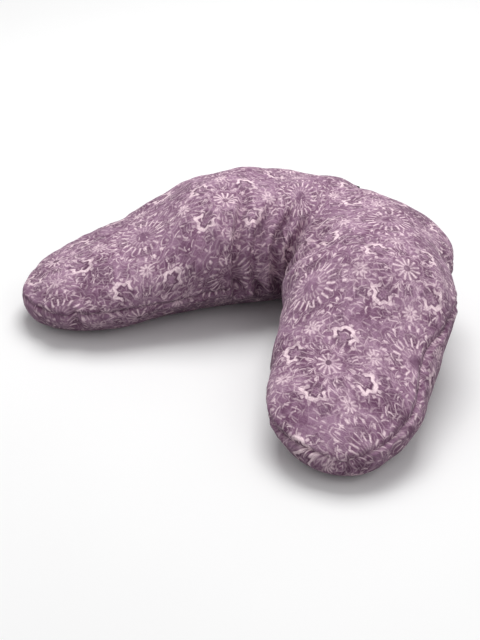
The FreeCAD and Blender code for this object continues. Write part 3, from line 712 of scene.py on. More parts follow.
@dataclass(frozen=True)
class Form:
    """The stuffed pillow's outer surface.

    Half of a line runs from the middle of the back, round a bend and down one arm. Each section square to
    it is a superellipse with its own outer and inner half-widths and height, and the tip closes on a
    quarter superellipse.
    """

    bend_radius: float = 0.1174
    bend_length: float = 0.113
    arm_length: float = 0.365
    bend_angle: float = math.radians(55.13)
    curl: float = 0.386
    curl_change: float = -0.7916
    back: float = 0.1389
    stations: tuple = (0.0, 0.18, 0.4, 0.65, 1.0)
    outer: tuple = (0.0791, 0.1087, 0.1177, 0.1024, 0.0769)
    inner: tuple = (0.1063, 0.1092, 0.1122, 0.1095, 0.1013)
    height: tuple = (0.174, 0.1803, 0.1821, 0.1258, 0.0693)
    widest: float = 0.5957
    top_power: float = 1.9932
    bottom_power: float = 2.1549
    tip_length: float = 0.1017
    tip_power: float = 2.0723
    seam_stations: tuple = (0.0, 0.42, 0.6, 0.8, 1.0)
    outer_seam: tuple = (0.110, 0.111, 0.107, 0.0765, 0.0475)
    inner_seam: tuple = (0.066, 0.061, 0.0595, 0.0535, 0.0475)
    tallest: float = 0.186
    settle: float = 0.007
    settle_height: float = 0.05
    floor_round: float = 0.003
    lifts: tuple = ((-0.165, 0.035, 0.02, 0.0, 0.1), (-0.042, 0.024, 0.02, 0.05, 0.12))
    sag: tuple = (-0.098, 0.035, 0.058, 0.05, 0.12)
    undercut: float = 0.009
    hollows: tuple = ((-0.2, 0.03, 0.045, 0.008), (-0.31, -0.13, 0.05, 0.004), (0.18, 0.155, 0.05, 0.007))
    zip_radius: float = ARC_RADIUS
    zip_middle: float = ARC_MIDDLE
    zip_half: float = 0.1278
    zip_gap: float = 0.0047
    gather_count: float = 15.0
    gather_depth: float = 0.0024
    creases: tuple[Crease, ...] = (
        Crease((-0.040, -0.046), (-0.100, 0.040), 0.018, 0.0045, 0.0095, 0.12, 0.05),
        Crease((-0.054, -0.052), (-0.118, 0.020), 0.006, 0.0060, 0.012, 0.25, 0.06),
        Crease((-0.030, -0.022), (-0.058, 0.060), 0.014, 0.0042, 0.0075, 0.10, 0.05),
        Crease((-0.014, 0.002), (-0.034, 0.082), 0.014, 0.0042, 0.0075, 0.10, 0.04),
        Crease((-0.002, 0.014), (-0.006, 0.090), 0.011, 0.0042, 0.0075, 0.10, 0.04),
        Crease((0.012, 0.012), (0.022, 0.080), 0.008, 0.0050, 0.010, 0.20, 0.04),
        Crease((0.022, -0.004), (0.056, 0.062), 0.008, 0.0050, 0.010, 0.20, 0.05),
        Crease((0.034, -0.026), (0.092, 0.030), 0.006, 0.0060, 0.012, 0.25, 0.06),
        Crease((0.062, -0.068), (0.122, -0.018), 0.004, 0.0070, 0.014, 0.3, 0.06),
        Crease((-0.070, -0.076), (-0.130, -0.022), 0.004, 0.0070, 0.014, 0.3, 0.06),
        Crease((-0.182, -0.230), (-0.198, -0.172), 0.010, 0.0055, 0.010, 0.15, 0.025, 0.085),
        Crease((-0.240, -0.240), (-0.232, -0.190), 0.004, 0.0070, 0.012, 0.3, 0.02, 0.07),
        Crease((-0.02, 0.235), (-0.006, 0.15), 0.005, 0.01, 0.02, 0.3, 0.13),
    )

    def line(self, s: Array) -> tuple[Array, Array, Array]:
        """The middle line of the right half.

        Its heading turns evenly through the bend, then by a quadratic along the arm; its place is the sum
        of the cosine and minus sine of the heading.

        Args:
            s: distances from the middle of the back, rising from 0.
        Returns:
            x, y and heading at each distance.
        """
        def heading(at: Array) -> Array:
            """Turn towards -Y at that distance."""
            e = np.maximum(at - self.bend_length, 0)
            return np.where(at < self.bend_length, at / self.bend_radius,
                            self.bend_angle + self.curl * e + self.curl_change * e * e)
        step, middle = np.diff(s), heading((s[1:] + s[:-1]) / 2)
        x = np.concatenate([[0.0], np.cumsum(np.cos(middle) * step)])
        y = self.back - np.concatenate([[0.0], np.cumsum(np.sin(middle) * step)])
        return x, y, heading(s)

    def sections(self, count: int) -> dict[str, Array]:
        """Everything a section needs, for both halves, from the left tip to the right tip."""
        whole = self.bend_length + self.arm_length
        s = whole * (1 - (1 - np.linspace(0, 1, count)) ** 1.35)
        x, y, head = self.line(s)
        share = s / whole
        q = np.clip((s - (whole - self.tip_length)) / self.tip_length, 0, 1)
        round_ = (1 - q ** self.tip_power) ** (1 / self.tip_power)
        tall = hermite(share, self.stations, self.height)
        mid = self.widest * tall
        seam = {}
        for name, knots in (("outer_seam", self.outer_seam), ("inner_seam", self.inner_seam)):
            z = hermite(share, self.seam_stations, knots)
            seam[name] = mid + (z - mid) * (1 - np.exp(-(round_ / 0.25) ** 2))
        half = {"x": x, "y": y, "head": head, "s": s, "mid": mid,
                "outer": hermite(share, self.stations, self.outer) * round_,
                "inner": hermite(share, self.stations, self.inner) * round_,
                "up": (tall - mid) * round_ ** 0.9, "down": mid * round_ ** 0.6, **seam}
        both = {k: np.concatenate([v[:0:-1], v]) for k, v in half.items()}
        sign = np.concatenate([-np.ones(count - 1), np.ones(count)])
        both["sign"], both["x"] = sign, both["x"] * sign
        both["signed"] = both["s"] * sign
        return both

    def edge_angle(self, sec: dict[str, Array], which: str, lift: Union[Array, float] = 0.0) -> Array:
        """The section angle at which the surface has the seam's height, plus lift."""
        above = sec[which] + lift - sec["mid"]
        share = np.where(above >= 0, above / np.maximum(sec["up"], 1e-5), above / np.maximum(sec["down"], 1e-5))
        share = np.clip(share, -0.98, 0.98)
        power = np.where(share >= 0, self.top_power, self.bottom_power)
        angle = np.sign(share) * np.arcsin(np.abs(share) ** (power / 2))
        return angle if which == "outer_seam" else math.pi - angle

    def points(self, sec: dict[str, Array], angle: Array) -> Array:
        """Places on the plain surface.

        Across: the sign-kept power 2/p of the cosine, times the half-width. Up: the same of the sine, times the
        height above or below the widest line.

        Args:
            sec: the sections.
            angle: section angles, one row for each section.
        Returns:
            Places, shape (sections, angles, 3).
        """
        c, s = np.cos(angle), np.sin(angle)
        p = np.where(s >= 0, self.top_power, self.bottom_power)
        across = np.sign(c) * np.abs(c) ** (2 / p)
        up = np.sign(s) * np.abs(s) ** (2 / p)
        col = {k: v[:, None] for k, v in sec.items()}
        width = across * np.where(across >= 0, col["outer"], col["inner"])
        z = col["mid"] + np.where(up >= 0, up * col["up"], up * col["down"])
        width = width + self.undercut * (across < 0) * np.exp(-(z / 0.04) ** 2) * smooth(col["y"], -0.13, -0.02)
        x = col["x"] + np.sin(col["head"]) * width * col["sign"]
        y = col["y"] + np.cos(col["head"]) * width
        z = z - self.settle * np.clip(1 - z / self.settle_height, 0, 1) ** 2
        z = 0.5 * (z + np.sqrt(z * z + self.floor_round ** 2)) - 0.5 * self.floor_round * np.exp(-z / 0.01)
        z = z * (1 + sum(swell(x, y, *lift) for lift in self.lifts) - swell(x, y, *self.sag))
        return self.to_zip(np.stack([x, y, np.clip(z, 0, self.tallest)], -1))

    def near_zip(self, points: Array) -> Array:
        """1 close to the zip, falling to 0 past its ends and above and below it."""
        x, y = points[..., 0], points[..., 1] - self.zip_middle
        turn = np.abs(np.arctan2(x, y))
        end = self.zip_half / self.zip_radius
        side = 1 - smooth(turn, end + 0.06, end + 0.3)
        tall = np.exp(-(np.maximum(np.abs(points[..., 2] - SEAM_HEIGHT) - 0.011, 0) / 0.022) ** 2)
        return side * tall * smooth(y, 0.2, 0.24)

    def to_zip(self, points: Array) -> Array:
        """Draw the surface to the zip's upright arc, as far as near_zip says."""
        x, y = points[..., 0], points[..., 1] - self.zip_middle
        r = np.hypot(x, y)
        scale = 1 + self.near_zip(points) * (self.zip_radius / np.maximum(r, 1e-6) - 1)
        return np.stack([x * scale, y * scale + self.zip_middle, points[..., 2]], -1)

    def folds(self, points: Array, normal: Array, sec: dict[str, Array]) -> Array:
        """The surface with its creases and slow hollows, moved along its normal."""
        push = sum(c.push(points) for c in self.creases)
        push = push + 0.0017 * ripples(points, 0.085, 5) + 0.0007 * ripples(points, 0.034, 9)
        bearing = np.arctan2(points[..., 0], points[..., 1] + 0.03)
        reach = np.hypot(points[..., 0], points[..., 1] + 0.03)
        gather = np.sin(self.gather_count * bearing + 2.2 * np.sin(3.1 * bearing + 0.6))
        z = points[..., 2]
        for x, y, wide, depth in self.hollows:
            away = np.hypot(points[..., 0] - x, points[..., 1] - y)
            push = push - depth * np.exp(-(away / wide) ** 2) * smooth(z, 0.0, 0.03)
        push = push + self.gather_depth * gather * np.exp(-(reach / 0.075) ** 2) * smooth(z, 0.02, 0.05)
        keep = (1 - self.near_zip(points)) * smooth(z, 0.0, 0.02)
        tip = np.minimum(sec["outer"] / 0.05, 1.0)[:, None]
        moved = points + normal * (push * keep * tip)[..., None]
        moved[..., 2] = np.maximum(moved[..., 2], 0.0)
        return moved


@dataclass
class Stuffing:
    """Cloth simulation of the filled skin, blown up against its held seam, which gathers it along the edge."""

    form: Form
    pressure: float = 4.0
    spare: float = 0.035
    frames: int = 20
    cap: float = 0.007
    sections: int = 92
    around: int = 124
    seam_fade: float = 0.014
    shrink: float = 0.003
    moves: Optional[Array] = field(default=None)

    def run(self) -> None:
        """Simulate the skin as a closed grid and keep how far each grid point moved, at most cap."""
        sec = self.form.sections(self.sections)
        turn = np.linspace(0, 2 * math.pi, self.around, endpoint=False)
        angle = np.broadcast_to(turn, (len(sec["x"]), self.around))
        ring = self.form.points(sec, angle)
        self.moves = np.zeros_like(ring)
        normal = grid_normals(ring)
        start = self.form.folds(ring, normal, sec) - normal * self.shrink
        skin = bpy.data.meshes.new("skin")
        faces = grid_faces(*ring.shape[:2], closed_columns=True)
        skin.from_pydata(start.reshape(-1, 3), [], faces.tolist())
        cloth_piece = bpy.data.objects.new("skin", skin)
        bpy.context.scene.collection.objects.link(cloth_piece)
        self.hold(cloth_piece, sec, ring, angle)
        cloth = cloth_piece.modifiers.new("cloth", "CLOTH").settings
        cloth.quality, cloth.mass, cloth.air_damping = 6, 0.25, 2.0
        cloth.tension_stiffness = cloth.compression_stiffness = 25.0
        cloth.shear_stiffness, cloth.bending_stiffness = 8.0, 0.12
        cloth.use_pressure, cloth.uniform_pressure_force = True, self.pressure
        cloth.shrink_min = -self.spare
        cloth.vertex_group_mass, cloth.pin_stiffness = "held", 2.0
        cloth.effector_weights.gravity = 0.0
        scene = bpy.context.scene
        for number in range(1, self.frames + 1):
            scene.frame_set(number)
        graph = bpy.context.evaluated_depsgraph_get()
        result = cloth_piece.evaluated_get(graph).to_mesh()
        end = np.empty(len(result.vertices) * 3, np.float32)
        result.vertices.foreach_get("co", end)
        scene.frame_set(1)
        bpy.data.objects.remove(cloth_piece)
        bpy.data.meshes.remove(skin)
        move = end.reshape(start.shape).astype(float) - start
        size = np.linalg.norm(move, axis=-1, keepdims=True)
        move *= self.cap * np.tanh(size / self.cap) / np.maximum(size, 1e-9)
        move = np.where(np.isfinite(move), move, 0.0) * self.away_from_seams(sec, ring, angle)[..., None]
        self.moves = soften(move)
        LOG.info("skin simulated: mean move %.1f mm, most %.1f mm", 1000 * size.mean(), 1000 * size.max())

    def away_from_seams(self, sec: dict[str, Array], ring: Array, angle: Array) -> Array:
        """0 on both seams, rising to 1: one minus exp of minus the squared distance to the nearer seam."""
        fade = np.ones(angle.shape)
        for which in ("outer_seam", "inner_seam"):
            edge = self.form.points(sec, self.form.edge_angle(sec, which)[:, None])
            fade *= 1 - np.exp(-(np.linalg.norm(ring - edge, axis=-1) / self.seam_fade) ** 2)
        return fade

    def hold(self, piece: bpy.types.Object, sec: dict[str, Array], ring: Array, angle: Array) -> None:
        """Pin the skin along both seams, at the zip, on the floor and at the tips."""
        seams = [self.form.edge_angle(sec, which)[:, None] for which in ("outer_seam", "inner_seam")]
        turn = [np.abs((angle - a + math.pi) % (2 * math.pi) - math.pi) for a in seams]
        seam = np.minimum(*turn) < 2 * math.pi / self.around * 0.6
        tip, floor = (sec["outer"] < 0.012)[:, None], ring[..., 2] < 0.002
        held = seam | (self.form.near_zip(ring) > 0.3) | floor | tip
        group = piece.vertex_groups.new(name="held")
        group.add(np.flatnonzero(held.ravel()).tolist(), 1.0, "REPLACE")

    def move(self, sec: dict[str, Array], angle: Array) -> Array:
        """The simulated move at other sections and angles, read between the grid's four nearest points."""
        rows = np.interp(sec["signed"], self.form.sections(self.sections)["signed"], np.arange(len(self.moves)))
        rows = np.broadcast_to(rows[:, None], angle.shape)
        columns = (angle / (2 * math.pi) * self.around) % self.around
        i, j = np.clip(rows.astype(int), 0, len(self.moves) - 2), columns.astype(int) % self.around
        fi, fj = (rows - i)[..., None], (columns - np.floor(columns))[..., None]
        k = (j + 1) % self.around
        fi, fj = fi * fi * (3 - 2 * fi), fj * fj * (3 - 2 * fj)
        return ((self.moves[i, j] * (1 - fj) + self.moves[i, k] * fj) * (1 - fi)
                + (self.moves[i + 1, j] * (1 - fj) + self.moves[i + 1, k] * fj) * fi)


@dataclass
class Skin:
    """A pair of sewn panels over the form, or the closed filling inside them."""

    form: Form
    stuffing: Stuffing
    sections: int = 185
    across: int = 112
    groove: float = 0.0042
    groove_width: float = 0.0042
    lip: float = 0.004
    ridge: float = 0.52

    def surface(self, sec: dict[str, Array], angle: Array) -> tuple[Array, Array]:
        """The creased and simulated surface with its normals."""
        plain = self.form.points(sec, angle)
        normal = grid_normals(plain)
        centre = np.array([0.0, 0.0, 0.07])
        facing = np.sign(np.sum(normal * (plain - centre), -1).mean())
        normal = normal * facing
        folded = self.form.folds(plain, normal, sec) + self.stuffing.move(sec, angle)
        keep = 1 - self.form.near_zip(plain)
        folded = plain + (folded - plain) * np.clip(keep * 1.15, 0, 1)[..., None]
        folded[..., 2] = np.clip(folded[..., 2], 0.0, None)
        return folded, normal

    def panel(self, side: Side, inset: float = 0.0) -> tuple[Array, Array]:
        """One panel from seam to seam with its turned-in edges.

        The angle runs from the outer seam over (or under) to the inner seam. Near each seam the surface
        dips by groove times exp of minus the squared distance, with uneven puckers beside it, and a lip
        goes straight in. At the zip the edge stands off by the gap and rolls in round its hem instead.

        Args:
            side: the top or the bottom panel.
            inset: how far inside the form the panel lies.
        Returns:
            Places and cloth coordinates, each a grid.
        """
        sec = self.form.sections(self.sections)
        up = 1.0 if side is Side.TOP else -1.0
        t = np.linspace(0, 1, self.across)
        t = t - 0.06 * np.sin(4 * math.pi * t) / (4 * math.pi)
        first = self.form.edge_angle(sec, "outer_seam")
        probe = self.form.points(sec, first[:, None])[:, 0]
        arc = np.abs(np.arctan2(probe[:, 0], probe[:, 1] - self.form.zip_middle)) * self.form.zip_radius
        opening = 1 - smooth(arc, self.form.zip_half - 0.003, self.form.zip_half + 0.004)
        opening = opening * (probe[:, 1] > 0.1) * (inset == 0)
        first = self.form.edge_angle(sec, "outer_seam", up * opening * self.form.zip_gap)
        last = self.form.edge_angle(sec, "inner_seam")
        if side is Side.BOTTOM:
            last = last - 2 * math.pi
        angle = first[:, None] + (last - first)[:, None] * t[None]
        points, normal = self.surface(sec, angle)
        at_hem = SEAM_HEIGHT + up * self.form.zip_gap * opening
        points[:, 0, 2] = np.where(opening > 0.5, at_hem, points[:, 0, 2])
        flat = self.flat(sec, points, side)
        outer = distances(points)
        inner = outer[:, -1:] - outer
        size = np.minimum(sec["outer"] / 0.03, 1.0)[:, None]
        seam_depth = self.groove * size
        shut = (1 - opening)[:, None]
        dip = np.exp(-(outer / self.groove_width) ** 2) * shut + np.exp(-(inner / self.groove_width) ** 2)
        roll = np.exp(-(outer / 0.0012) ** 2) * opening[:, None] * 0.0009
        beside = np.exp(-(np.minimum(outer + opening[:, None] * 0.02, inner) - 0.008) ** 2 / 0.009 ** 2)
        puff = beside * (0.0009 * ripples(points, 0.017, 21 + side.value) + 0.0009) * shut * size
        floor = smooth(points[..., 2], 0.0, 0.01)
        points = points + normal * ((puff - dip * seam_depth - inset) * floor - roll)[..., None]
        points[..., 2] = np.maximum(points[..., 2] + inset * 0.55 * (1 - floor), 0.0)
        rows = [self.edge_rows(points, normal, 0, 1, opening, size), points,
                self.edge_rows(points, normal, -1, -2, opening * 0, size)[:, ::-1]]
        turned = flat[:, :1] + np.zeros((1, 4, 1)), flat, flat[:, -1:] + np.zeros((1, 4, 1))
        return np.concatenate(rows, 1), np.concatenate(turned, 1)

    def edge_rows(self, points: Array, normal: Array, at: int, beside: int, opening: Array,
                  size: Array) -> Array:
        """Four rows that carry an edge in, deepest first: a straight lip at a seam, a rolled hem at the zip."""
        edge, inward = points[:, at], -normal[:, at]
        away = points[:, beside] - edge
        away /= np.maximum(np.linalg.norm(away, axis=1, keepdims=True), 1e-9)
        depth = np.array([1.0, 0.75, 0.5, 0.25]) * self.lip
        straight = edge[:, None] + inward[:, None] * depth[None, :, None] * size[..., None]
        straight += away[:, None] * 0.0003
        hem_in = np.array([0.0010, 0.0010, 0.0009, 0.0005])
        hem_away = np.array([0.0060, 0.0030, 0.0006, 0.0001])
        rolled = edge[:, None] + inward[:, None] * hem_in[:, None] + away[:, None] * hem_away[:, None]
        part = opening[:, None, None]
        return straight * (1 - part) + rolled * part

    def flat(self, sec: dict[str, Array], points: Array, side: Side) -> Array:
        """Where each place lies on the uncut cloth.

        The place of the middle line, lengthened by the tip's slope, plus the distance round the section
        from its ridge, straight across the line; so the print keeps one direction along both arms.
        """
        run, ridge = distances(points), int(self.across * self.ridge)
        girth = run[:, ridge][:, None] - run
        middle = points[:, ridge]
        long = np.concatenate([[0.0], np.cumsum(np.linalg.norm(np.diff(middle, axis=0), axis=1))])
        long = np.abs(long - long[len(long) // 2]) - np.abs(sec["signed"])
        extra = np.maximum(long - long[len(long) // 2], 0.0)[:, None]
        head, sign = sec["head"][:, None], sec["sign"][:, None]
        u = sec["x"][:, None] + (np.sin(head) * girth + np.cos(head) * extra) * sign
        v = sec["y"][:, None] + np.cos(head) * girth - np.sin(head) * extra
        if side is Side.BOTTOM:
            u, v = -u + 0.137, v + 0.071
        return np.stack([u, v], -1)

    def build(self, name: str, side: Side, node: str, slot: str, material: bpy.types.Material, inset: float,
              thickness: float) -> bpy.types.Object:
        """Make, thicken and dress one panel."""
        points, flat = self.panel(side, inset)
        piece = new_piece(name, points, grid_faces(*points.shape[:2]), flat)
        shell(piece, thickness)
        dress(piece, material, "pillow", slot, node)
        return piece

    def build_filling(self, material: bpy.types.Material, inset: float) -> bpy.types.Object:
        """The filling: the same closed surface further in, with tufts that push it about."""
        sec = self.form.sections(120)
        turn = np.linspace(0, 2 * math.pi, 150, endpoint=False)
        angle = np.broadcast_to(turn, (len(sec["x"]), len(turn)))
        points, normal = self.surface(sec, angle)
        floor = smooth(points[..., 2], 0.0, 0.012)
        lumps = 0.0008 * ripples(points, 0.02, 41)
        size = np.minimum(sec["outer"] / 0.02, 1.0)[:, None]
        points = points + normal * ((lumps - inset) * (0.4 + 0.6 * floor) * size)[..., None]
        points[..., 2] = np.maximum(points[..., 2], inset * 0.8)
        piece = new_piece("fibre_filling", points, grid_faces(*points.shape[:2], closed_columns=True))
        dress(piece, material, "pillow", "fill", "filling")
        return piece


def dress(piece: bpy.types.Object, material: bpy.types.Material, body: str, slot: str,
          *nodes: str) -> bpy.types.Object:
    """Give a piece its finish and its body, and hide the nodes it stands for."""
    piece.data.materials.clear()
    piece.data.materials.append(material)
    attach(piece, body)
    if nodes:
        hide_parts(*nodes)
    return piece


def dress_node(node: str, material: bpy.types.Material) -> None:
    """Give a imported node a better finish."""
    node_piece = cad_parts[node]
    for number in range(len(node_piece.material_slots)):
        node_piece.material_slots[number].material = material
    if not node_piece.material_slots:
        node_piece.data.materials.append(material)


# ------------------------------------------------------------------------------------------------ the zip
def box_of(node: str) -> tuple[Array, Array]:
    """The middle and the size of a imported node's box."""
    low, high = (np.array(corner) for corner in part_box(node))
    return (low + high) / 2, high - low


@dataclass
class Zip:
    """Tapes, coils and stitching along the back arc."""

    middle: float = ARC_MIDDLE
    height: float = SEAM_HEIGHT
    front: float = 0.3164
    window: float = 0.1307
    tape_low: float = 0.0008
    tape_high: float = 0.0098
    chain_half: float = 0.1214
    coil_out: float = 0.3173
    coil_rise: float = 0.00175
    pitch: float = 0.0015
    wire: float = 0.0003
    stitch: float = 0.0027
    stitch_step: float = 0.0036
    stitch_rise: float = 0.0072
    stitch_out: float = 0.3191

    def arc(self, radius: Union[Array, float], run: Array, z: Array) -> Array:
        """Places on the upright arc, from a radius, a distance along it and a height."""
        turn = run / ARC_RADIUS
        return stack(radius * np.sin(turn), radius * np.cos(turn) + self.middle, z)

    def tape(self, side: Side, material: bpy.types.Material) -> bpy.types.Object:
        """One woven tape: a thin strip with rounded edges, swept along the arc."""
        up = side.value
        half = (self.tape_high - self.tape_low) / 2
        turn = np.linspace(0, 2 * math.pi, 24, endpoint=False)
        across = np.sign(np.cos(turn)) * np.abs(np.cos(turn)) ** 0.35 * half
        thick = np.sign(np.sin(turn)) * np.abs(np.sin(turn)) ** 0.8 * 0.00029
        run = np.linspace(-self.window, self.window, 180)
        z = self.height + up * (self.tape_low + half + across)
        points = self.arc((self.front - 0.0003 + thick)[None], run[:, None], z[None])
        flat = stack(run[:, None], across[None])
        ends = points.mean(1, keepdims=True)
        points[0], points[-1] = ends[0], ends[-1]
        word = "upper" if side is Side.TOP else "lower"
        piece = new_piece(f"woven_tape_{word}", points, grid_faces(len(run), 24, closed_columns=True), flat)
        return dress(piece, material, "pillow", "zip_tape", f"zip_tape_{word}")

    def coil(self, side: Side, material: bpy.types.Material) -> bpy.types.Object:
        """One row of the chain: a wire wound into a flattened spring along the arc."""
        turns = int(2 * self.chain_half / self.pitch)
        turn = np.linspace(0, turns, turns * 12 + 1)
        run = -self.chain_half + turn / turns * 2 * self.chain_half
        wind = turn * 2 * math.pi
        radius = self.coil_out + 0.00055 * np.cos(wind)
        z = self.height + side.value * (self.coil_rise + 0.0001) + 0.0008 * np.sin(wind) * side.value
        word = "upper" if side is Side.TOP else "lower"
        piece = tube(f"coil_turns_{word}", self.arc(radius, run, z), self.wire, 6)
        return dress(piece, material, "pillow", "zip_coil", f"zip_coil_{word}")

    def stitches(self, material: bpy.types.Material) -> bpy.types.Object:
        """Two rows of straight stitches along the hems: short threads, each dipping in at both ends."""
        count = int(2 * self.window / self.stitch_step)
        middle = (np.arange(count) - (count - 1) / 2) * self.stitch_step
        along, sides = np.linspace(-0.5, 0.5, 7), np.linspace(0, 2 * math.pi, 6, endpoint=False)
        fat = np.sqrt(np.clip(1 - (2 * along) ** 4, 0, 1)) * 0.00028
        parts = []
        for up in (1, -1):
            run = middle[:, None, None] + along[None, :, None] * self.stitch
            rise = self.height + up * self.stitch_rise + np.sin(sides) * fat[:, None]
            out = self.stitch_out - 0.0003 * (2 * along[:, None]) ** 2 + np.cos(sides) * fat[:, None] * 0.7
            parts.append(self.arc(out[None], run, rise[None]))
        points = np.concatenate(parts).reshape(-1, 7 * 6, 3)
        one = grid_faces(7, 6, closed_columns=True)
        faces = (one[None] + np.arange(len(points))[:, None, None] * 42).reshape(-1, 4)
        piece = new_piece("hem_stitches", points, faces)
        return dress(piece, material, "pillow", "zip_tape")


@dataclass
class SeamTab:
    """The small folded tape in the back seam above the zip."""

    width: float = 0.0285
    reach: float = 0.0178
    thick: float = 0.0011

    def build(self, material: bpy.types.Material) -> bpy.types.Object:
        """A tape folded to a loop: up one side, round a soft bend, and down the other, one layer thick."""
        centre, _ = box_of("seam_tab")
        turn = math.atan2(centre[0], centre[1] - ARC_MIDDLE)
        side_way = np.array([math.cos(turn), -math.sin(turn), 0.0])
        out_way = np.array([math.sin(turn), math.cos(turn), 0.0])
        lean = math.radians(60)
        up_way = out_way * math.cos(lean) + np.array([0, 0, 1.0]) * math.sin(lean)
        face_way = np.cross(side_way, up_way)
        t = np.linspace(-1, 1, 61)
        leg = np.sign(t) * smooth(np.abs(t), 0.0, 0.32)
        rise = self.reach * (0.5 - np.abs(t) ** 1.25)
        gap = leg * self.thick * (1 - 0.35 * np.abs(t))
        w = np.linspace(-0.5, 0.5, 27) * (self.width - 0.003)
        sag = 0.0006 * np.cos(w / self.width * 5.0) - 0.0004
        points = (centre + side_way * w[None, :, None] + up_way * (rise[:, None] + sag[None])[..., None]
                  + face_way * gap[:, None, None])
        run = np.concatenate([[0], np.cumsum(np.hypot(np.diff(rise), np.diff(gap)))])
        flat = stack(w[None] + self.width / 2, run[:, None])
        piece = new_piece("folded_tab", points, grid_faces(61, 27), flat)
        shell(piece, 0.0005)
        dress(piece, material, "pillow", "tab_fabric", "seam_tab")
        return piece


@dataclass
class CareLabel:
    """A blank satin label hanging inside the cover below the zip."""

    width: float = 0.0276
    wave: float = 0.00012
    thick: float = 0.0003

    def build(self, material: bpy.types.Material) -> bpy.types.Object:
        """A satin strip: a plain rectangle on the arc, gently waved, one layer thick."""
        centre, size = box_of("care_label")
        along, back = centre[0], centre[1] - ARC_MIDDLE
        radius, tall, top = math.hypot(along, back), size[2], centre[2] + size[2] / 2
        run, drop = np.linspace(-self.width / 2, self.width / 2, 30)[None], np.linspace(0, 1, 24)[:, None]
        angle = math.atan2(along, back) + run / radius
        r = radius + self.wave * np.sin(run * 300 + drop * 3) * drop
        points = stack(r * np.sin(angle), r * np.cos(angle) + ARC_MIDDLE, top - drop * tall)
        piece = new_piece("satin_label", points, grid_faces(24, 30), stack(run, drop * tall))
        shell(piece, self.thick)
        dress(piece, material, "pillow", "label_fabric", "care_label")
        return piece


# ------------------------------------------------------------------------------------------------ the room
@dataclass(frozen=True)
class Studio:
    """Camera, pale floor and soft lights."""

    eye: tuple = (1.19097, -1.37122, 1.12751)
    look: tuple = (-0.57866, 0.62847, -0.51978)
    lens: float = 84.375
    floor: float = 6.0
    sky: float = 0.42
    lamps: tuple = (("key", (-0.5, 0.7, 2.5), 1.7, 51.0), ("fill", (2.0, -0.6, 1.8), 1.8, 9.5),
                    ("front", (-0.9, -1.9, 1.5), 1.4, 2.5))

    def build(self) -> None:
        """Make the camera, the floor, the sky light and the lamps."""
        scene = bpy.context.scene
        data = bpy.data.cameras.new("camera")
        data.lens, data.sensor_width, data.sensor_fit = self.lens, 36.0, "AUTO"
        camera = bpy.data.objects.new("camera", data)
        camera.location = self.eye
        camera.rotation_euler = Vector(self.look).to_track_quat("-Z", "Y").to_euler()
        scene.collection.objects.link(camera)
        scene.camera = camera
        half = self.floor / 2
        corner = np.array([(x * half, y * half, -0.0004) for x, y in ((-1, -1), (1, -1), (1, 1), (-1, 1))])
        floor = new_piece("floor", corner, np.array([[0, 1, 2, 3]]))
        mat, n, bsdf = new_material("pale floor", Roughness=0.9, Specular_IOR_Level=0.1)
        tone = n.noise(n.add("ShaderNodeTexCoord").outputs["Object"], 3.0)
        seen = Num(n.tree, n.add("ShaderNodeLightPath").outputs["Is Camera Ray"])
        shown = n.blend(tone, srgb(246, 246, 246), srgb(250, 250, 250))
        n.put(bsdf, "Base Color", n.blend(seen, srgb(150, 146, 150), shown))
        floor.data.materials.append(mat)
        floor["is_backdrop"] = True
        world = bpy.data.worlds.new("studio")
        world.use_nodes = True
        sky = world.node_tree.nodes["Background"].inputs
        sky["Color"].default_value, sky["Strength"].default_value = (1.0, 1.0, 1.0, 1.0), self.sky
        scene.world = world
        scene.view_settings.view_transform = "Standard"
        for lamp in self.lamps:
            self.lamp(*lamp)

    def lamp(self, name: str, place: tuple, size: float, power: float) -> None:
        """A square soft lamp aimed at the pillow."""
        data = bpy.data.lights.new(name, "AREA")
        data.shape, data.size, data.energy = "SQUARE", size, power
        lamp = bpy.data.objects.new(name, data)
        lamp.location = place
        lamp.rotation_euler = (Vector((0, 0, 0.08)) - Vector(place)).to_track_quat("-Z", "Y").to_euler()
        bpy.context.scene.collection.objects.link(lamp)


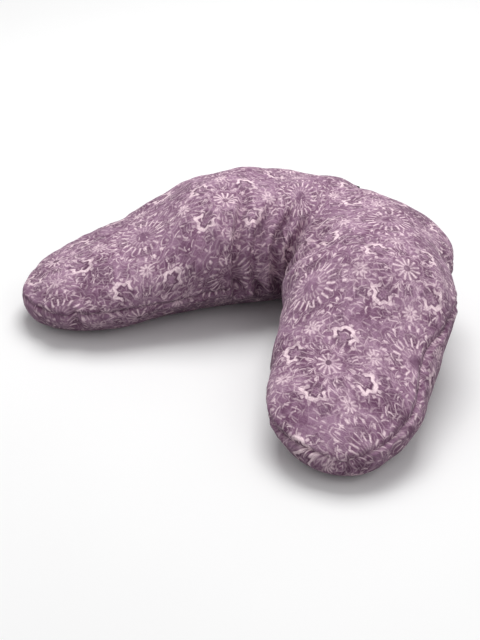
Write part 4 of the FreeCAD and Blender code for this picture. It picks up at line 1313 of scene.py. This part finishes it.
def write_sizes() -> None:
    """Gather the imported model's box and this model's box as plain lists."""
    boxes = {"cad": CAD_BOX, "visual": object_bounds()}
    plain = {name: [[float(v) for v in corner] for corner in box] for name, box in boxes.items()}


def main() -> None:
    """Build every piece in order."""
    logging.basicConfig(level=logging.INFO, format="%(message)s")
    groups = Groups(weave_group(), wear_group(), print_group())
    Studio().build()
    cover_cloth = PrintedCotton().make(groups)
    case_cloth = PlainCloth("case cotton", srgb(244, 242, 236), srgb(214, 210, 202), 0.0008).make(groups)
    tape_cloth = PlainCloth("zip tape", srgb(150, 122, 142), srgb(104, 78, 98), 0.0007).make(groups)
    satin = PlainCloth("label satin", srgb(248, 247, 245), srgb(228, 226, 224), 0.0004, 0.4, 0.5).make(groups)
    thread = Enamel("sewing thread", srgb(150, 120, 142), srgb(188, 160, 178), rough=0.7).make(groups)
    nylon = Enamel("coil nylon", srgb(132, 102, 124), srgb(164, 136, 154), rough=0.4).make(groups)
    metal = Enamel("painted metal", srgb(120, 90, 112), srgb(196, 192, 190), metallic=0.9).make(groups)
    form = Form()
    stuffing = Stuffing(form)
    stuffing.run()
    skin = Skin(form, stuffing)
    skin.build("cover_top", Side.TOP, "cover_top_panel", "cover_fabric", cover_cloth, 0.0, 0.0009)
    skin.build("cover_bottom", Side.BOTTOM, "cover_bottom_panel", "cover_fabric", cover_cloth, 0.0, 0.0009)
    case = Skin(form, stuffing, sections=120, across=70, groove=0.002, lip=0.002)
    case.build("case_top", Side.TOP, "case_top_panel", "case_fabric", case_cloth, 0.0068, 0.0007)
    case.build("case_bottom", Side.BOTTOM, "case_bottom_panel", "case_fabric", case_cloth, 0.0068, 0.0007)
    case.build_filling(Fibre().make(), 0.0095)
    LOG.info("panels and filling made")
    zip_ = Zip()
    for side in Side:
        zip_.tape(side, tape_cloth)
        zip_.coil(side, nylon)
    zip_.stitches(thread)
    SeamTab().build(TabClothPaintedShadow().make(groups))
    CareLabel().build(satin)
    for node in ("zip_slider", "zip_pull", "zip_top_stops", "zip_bottom_stop"):
        dress_node(node, metal)
    LOG.info("zip, tab and label made")
    write_sizes()


if __name__ == "__main__":
    main()
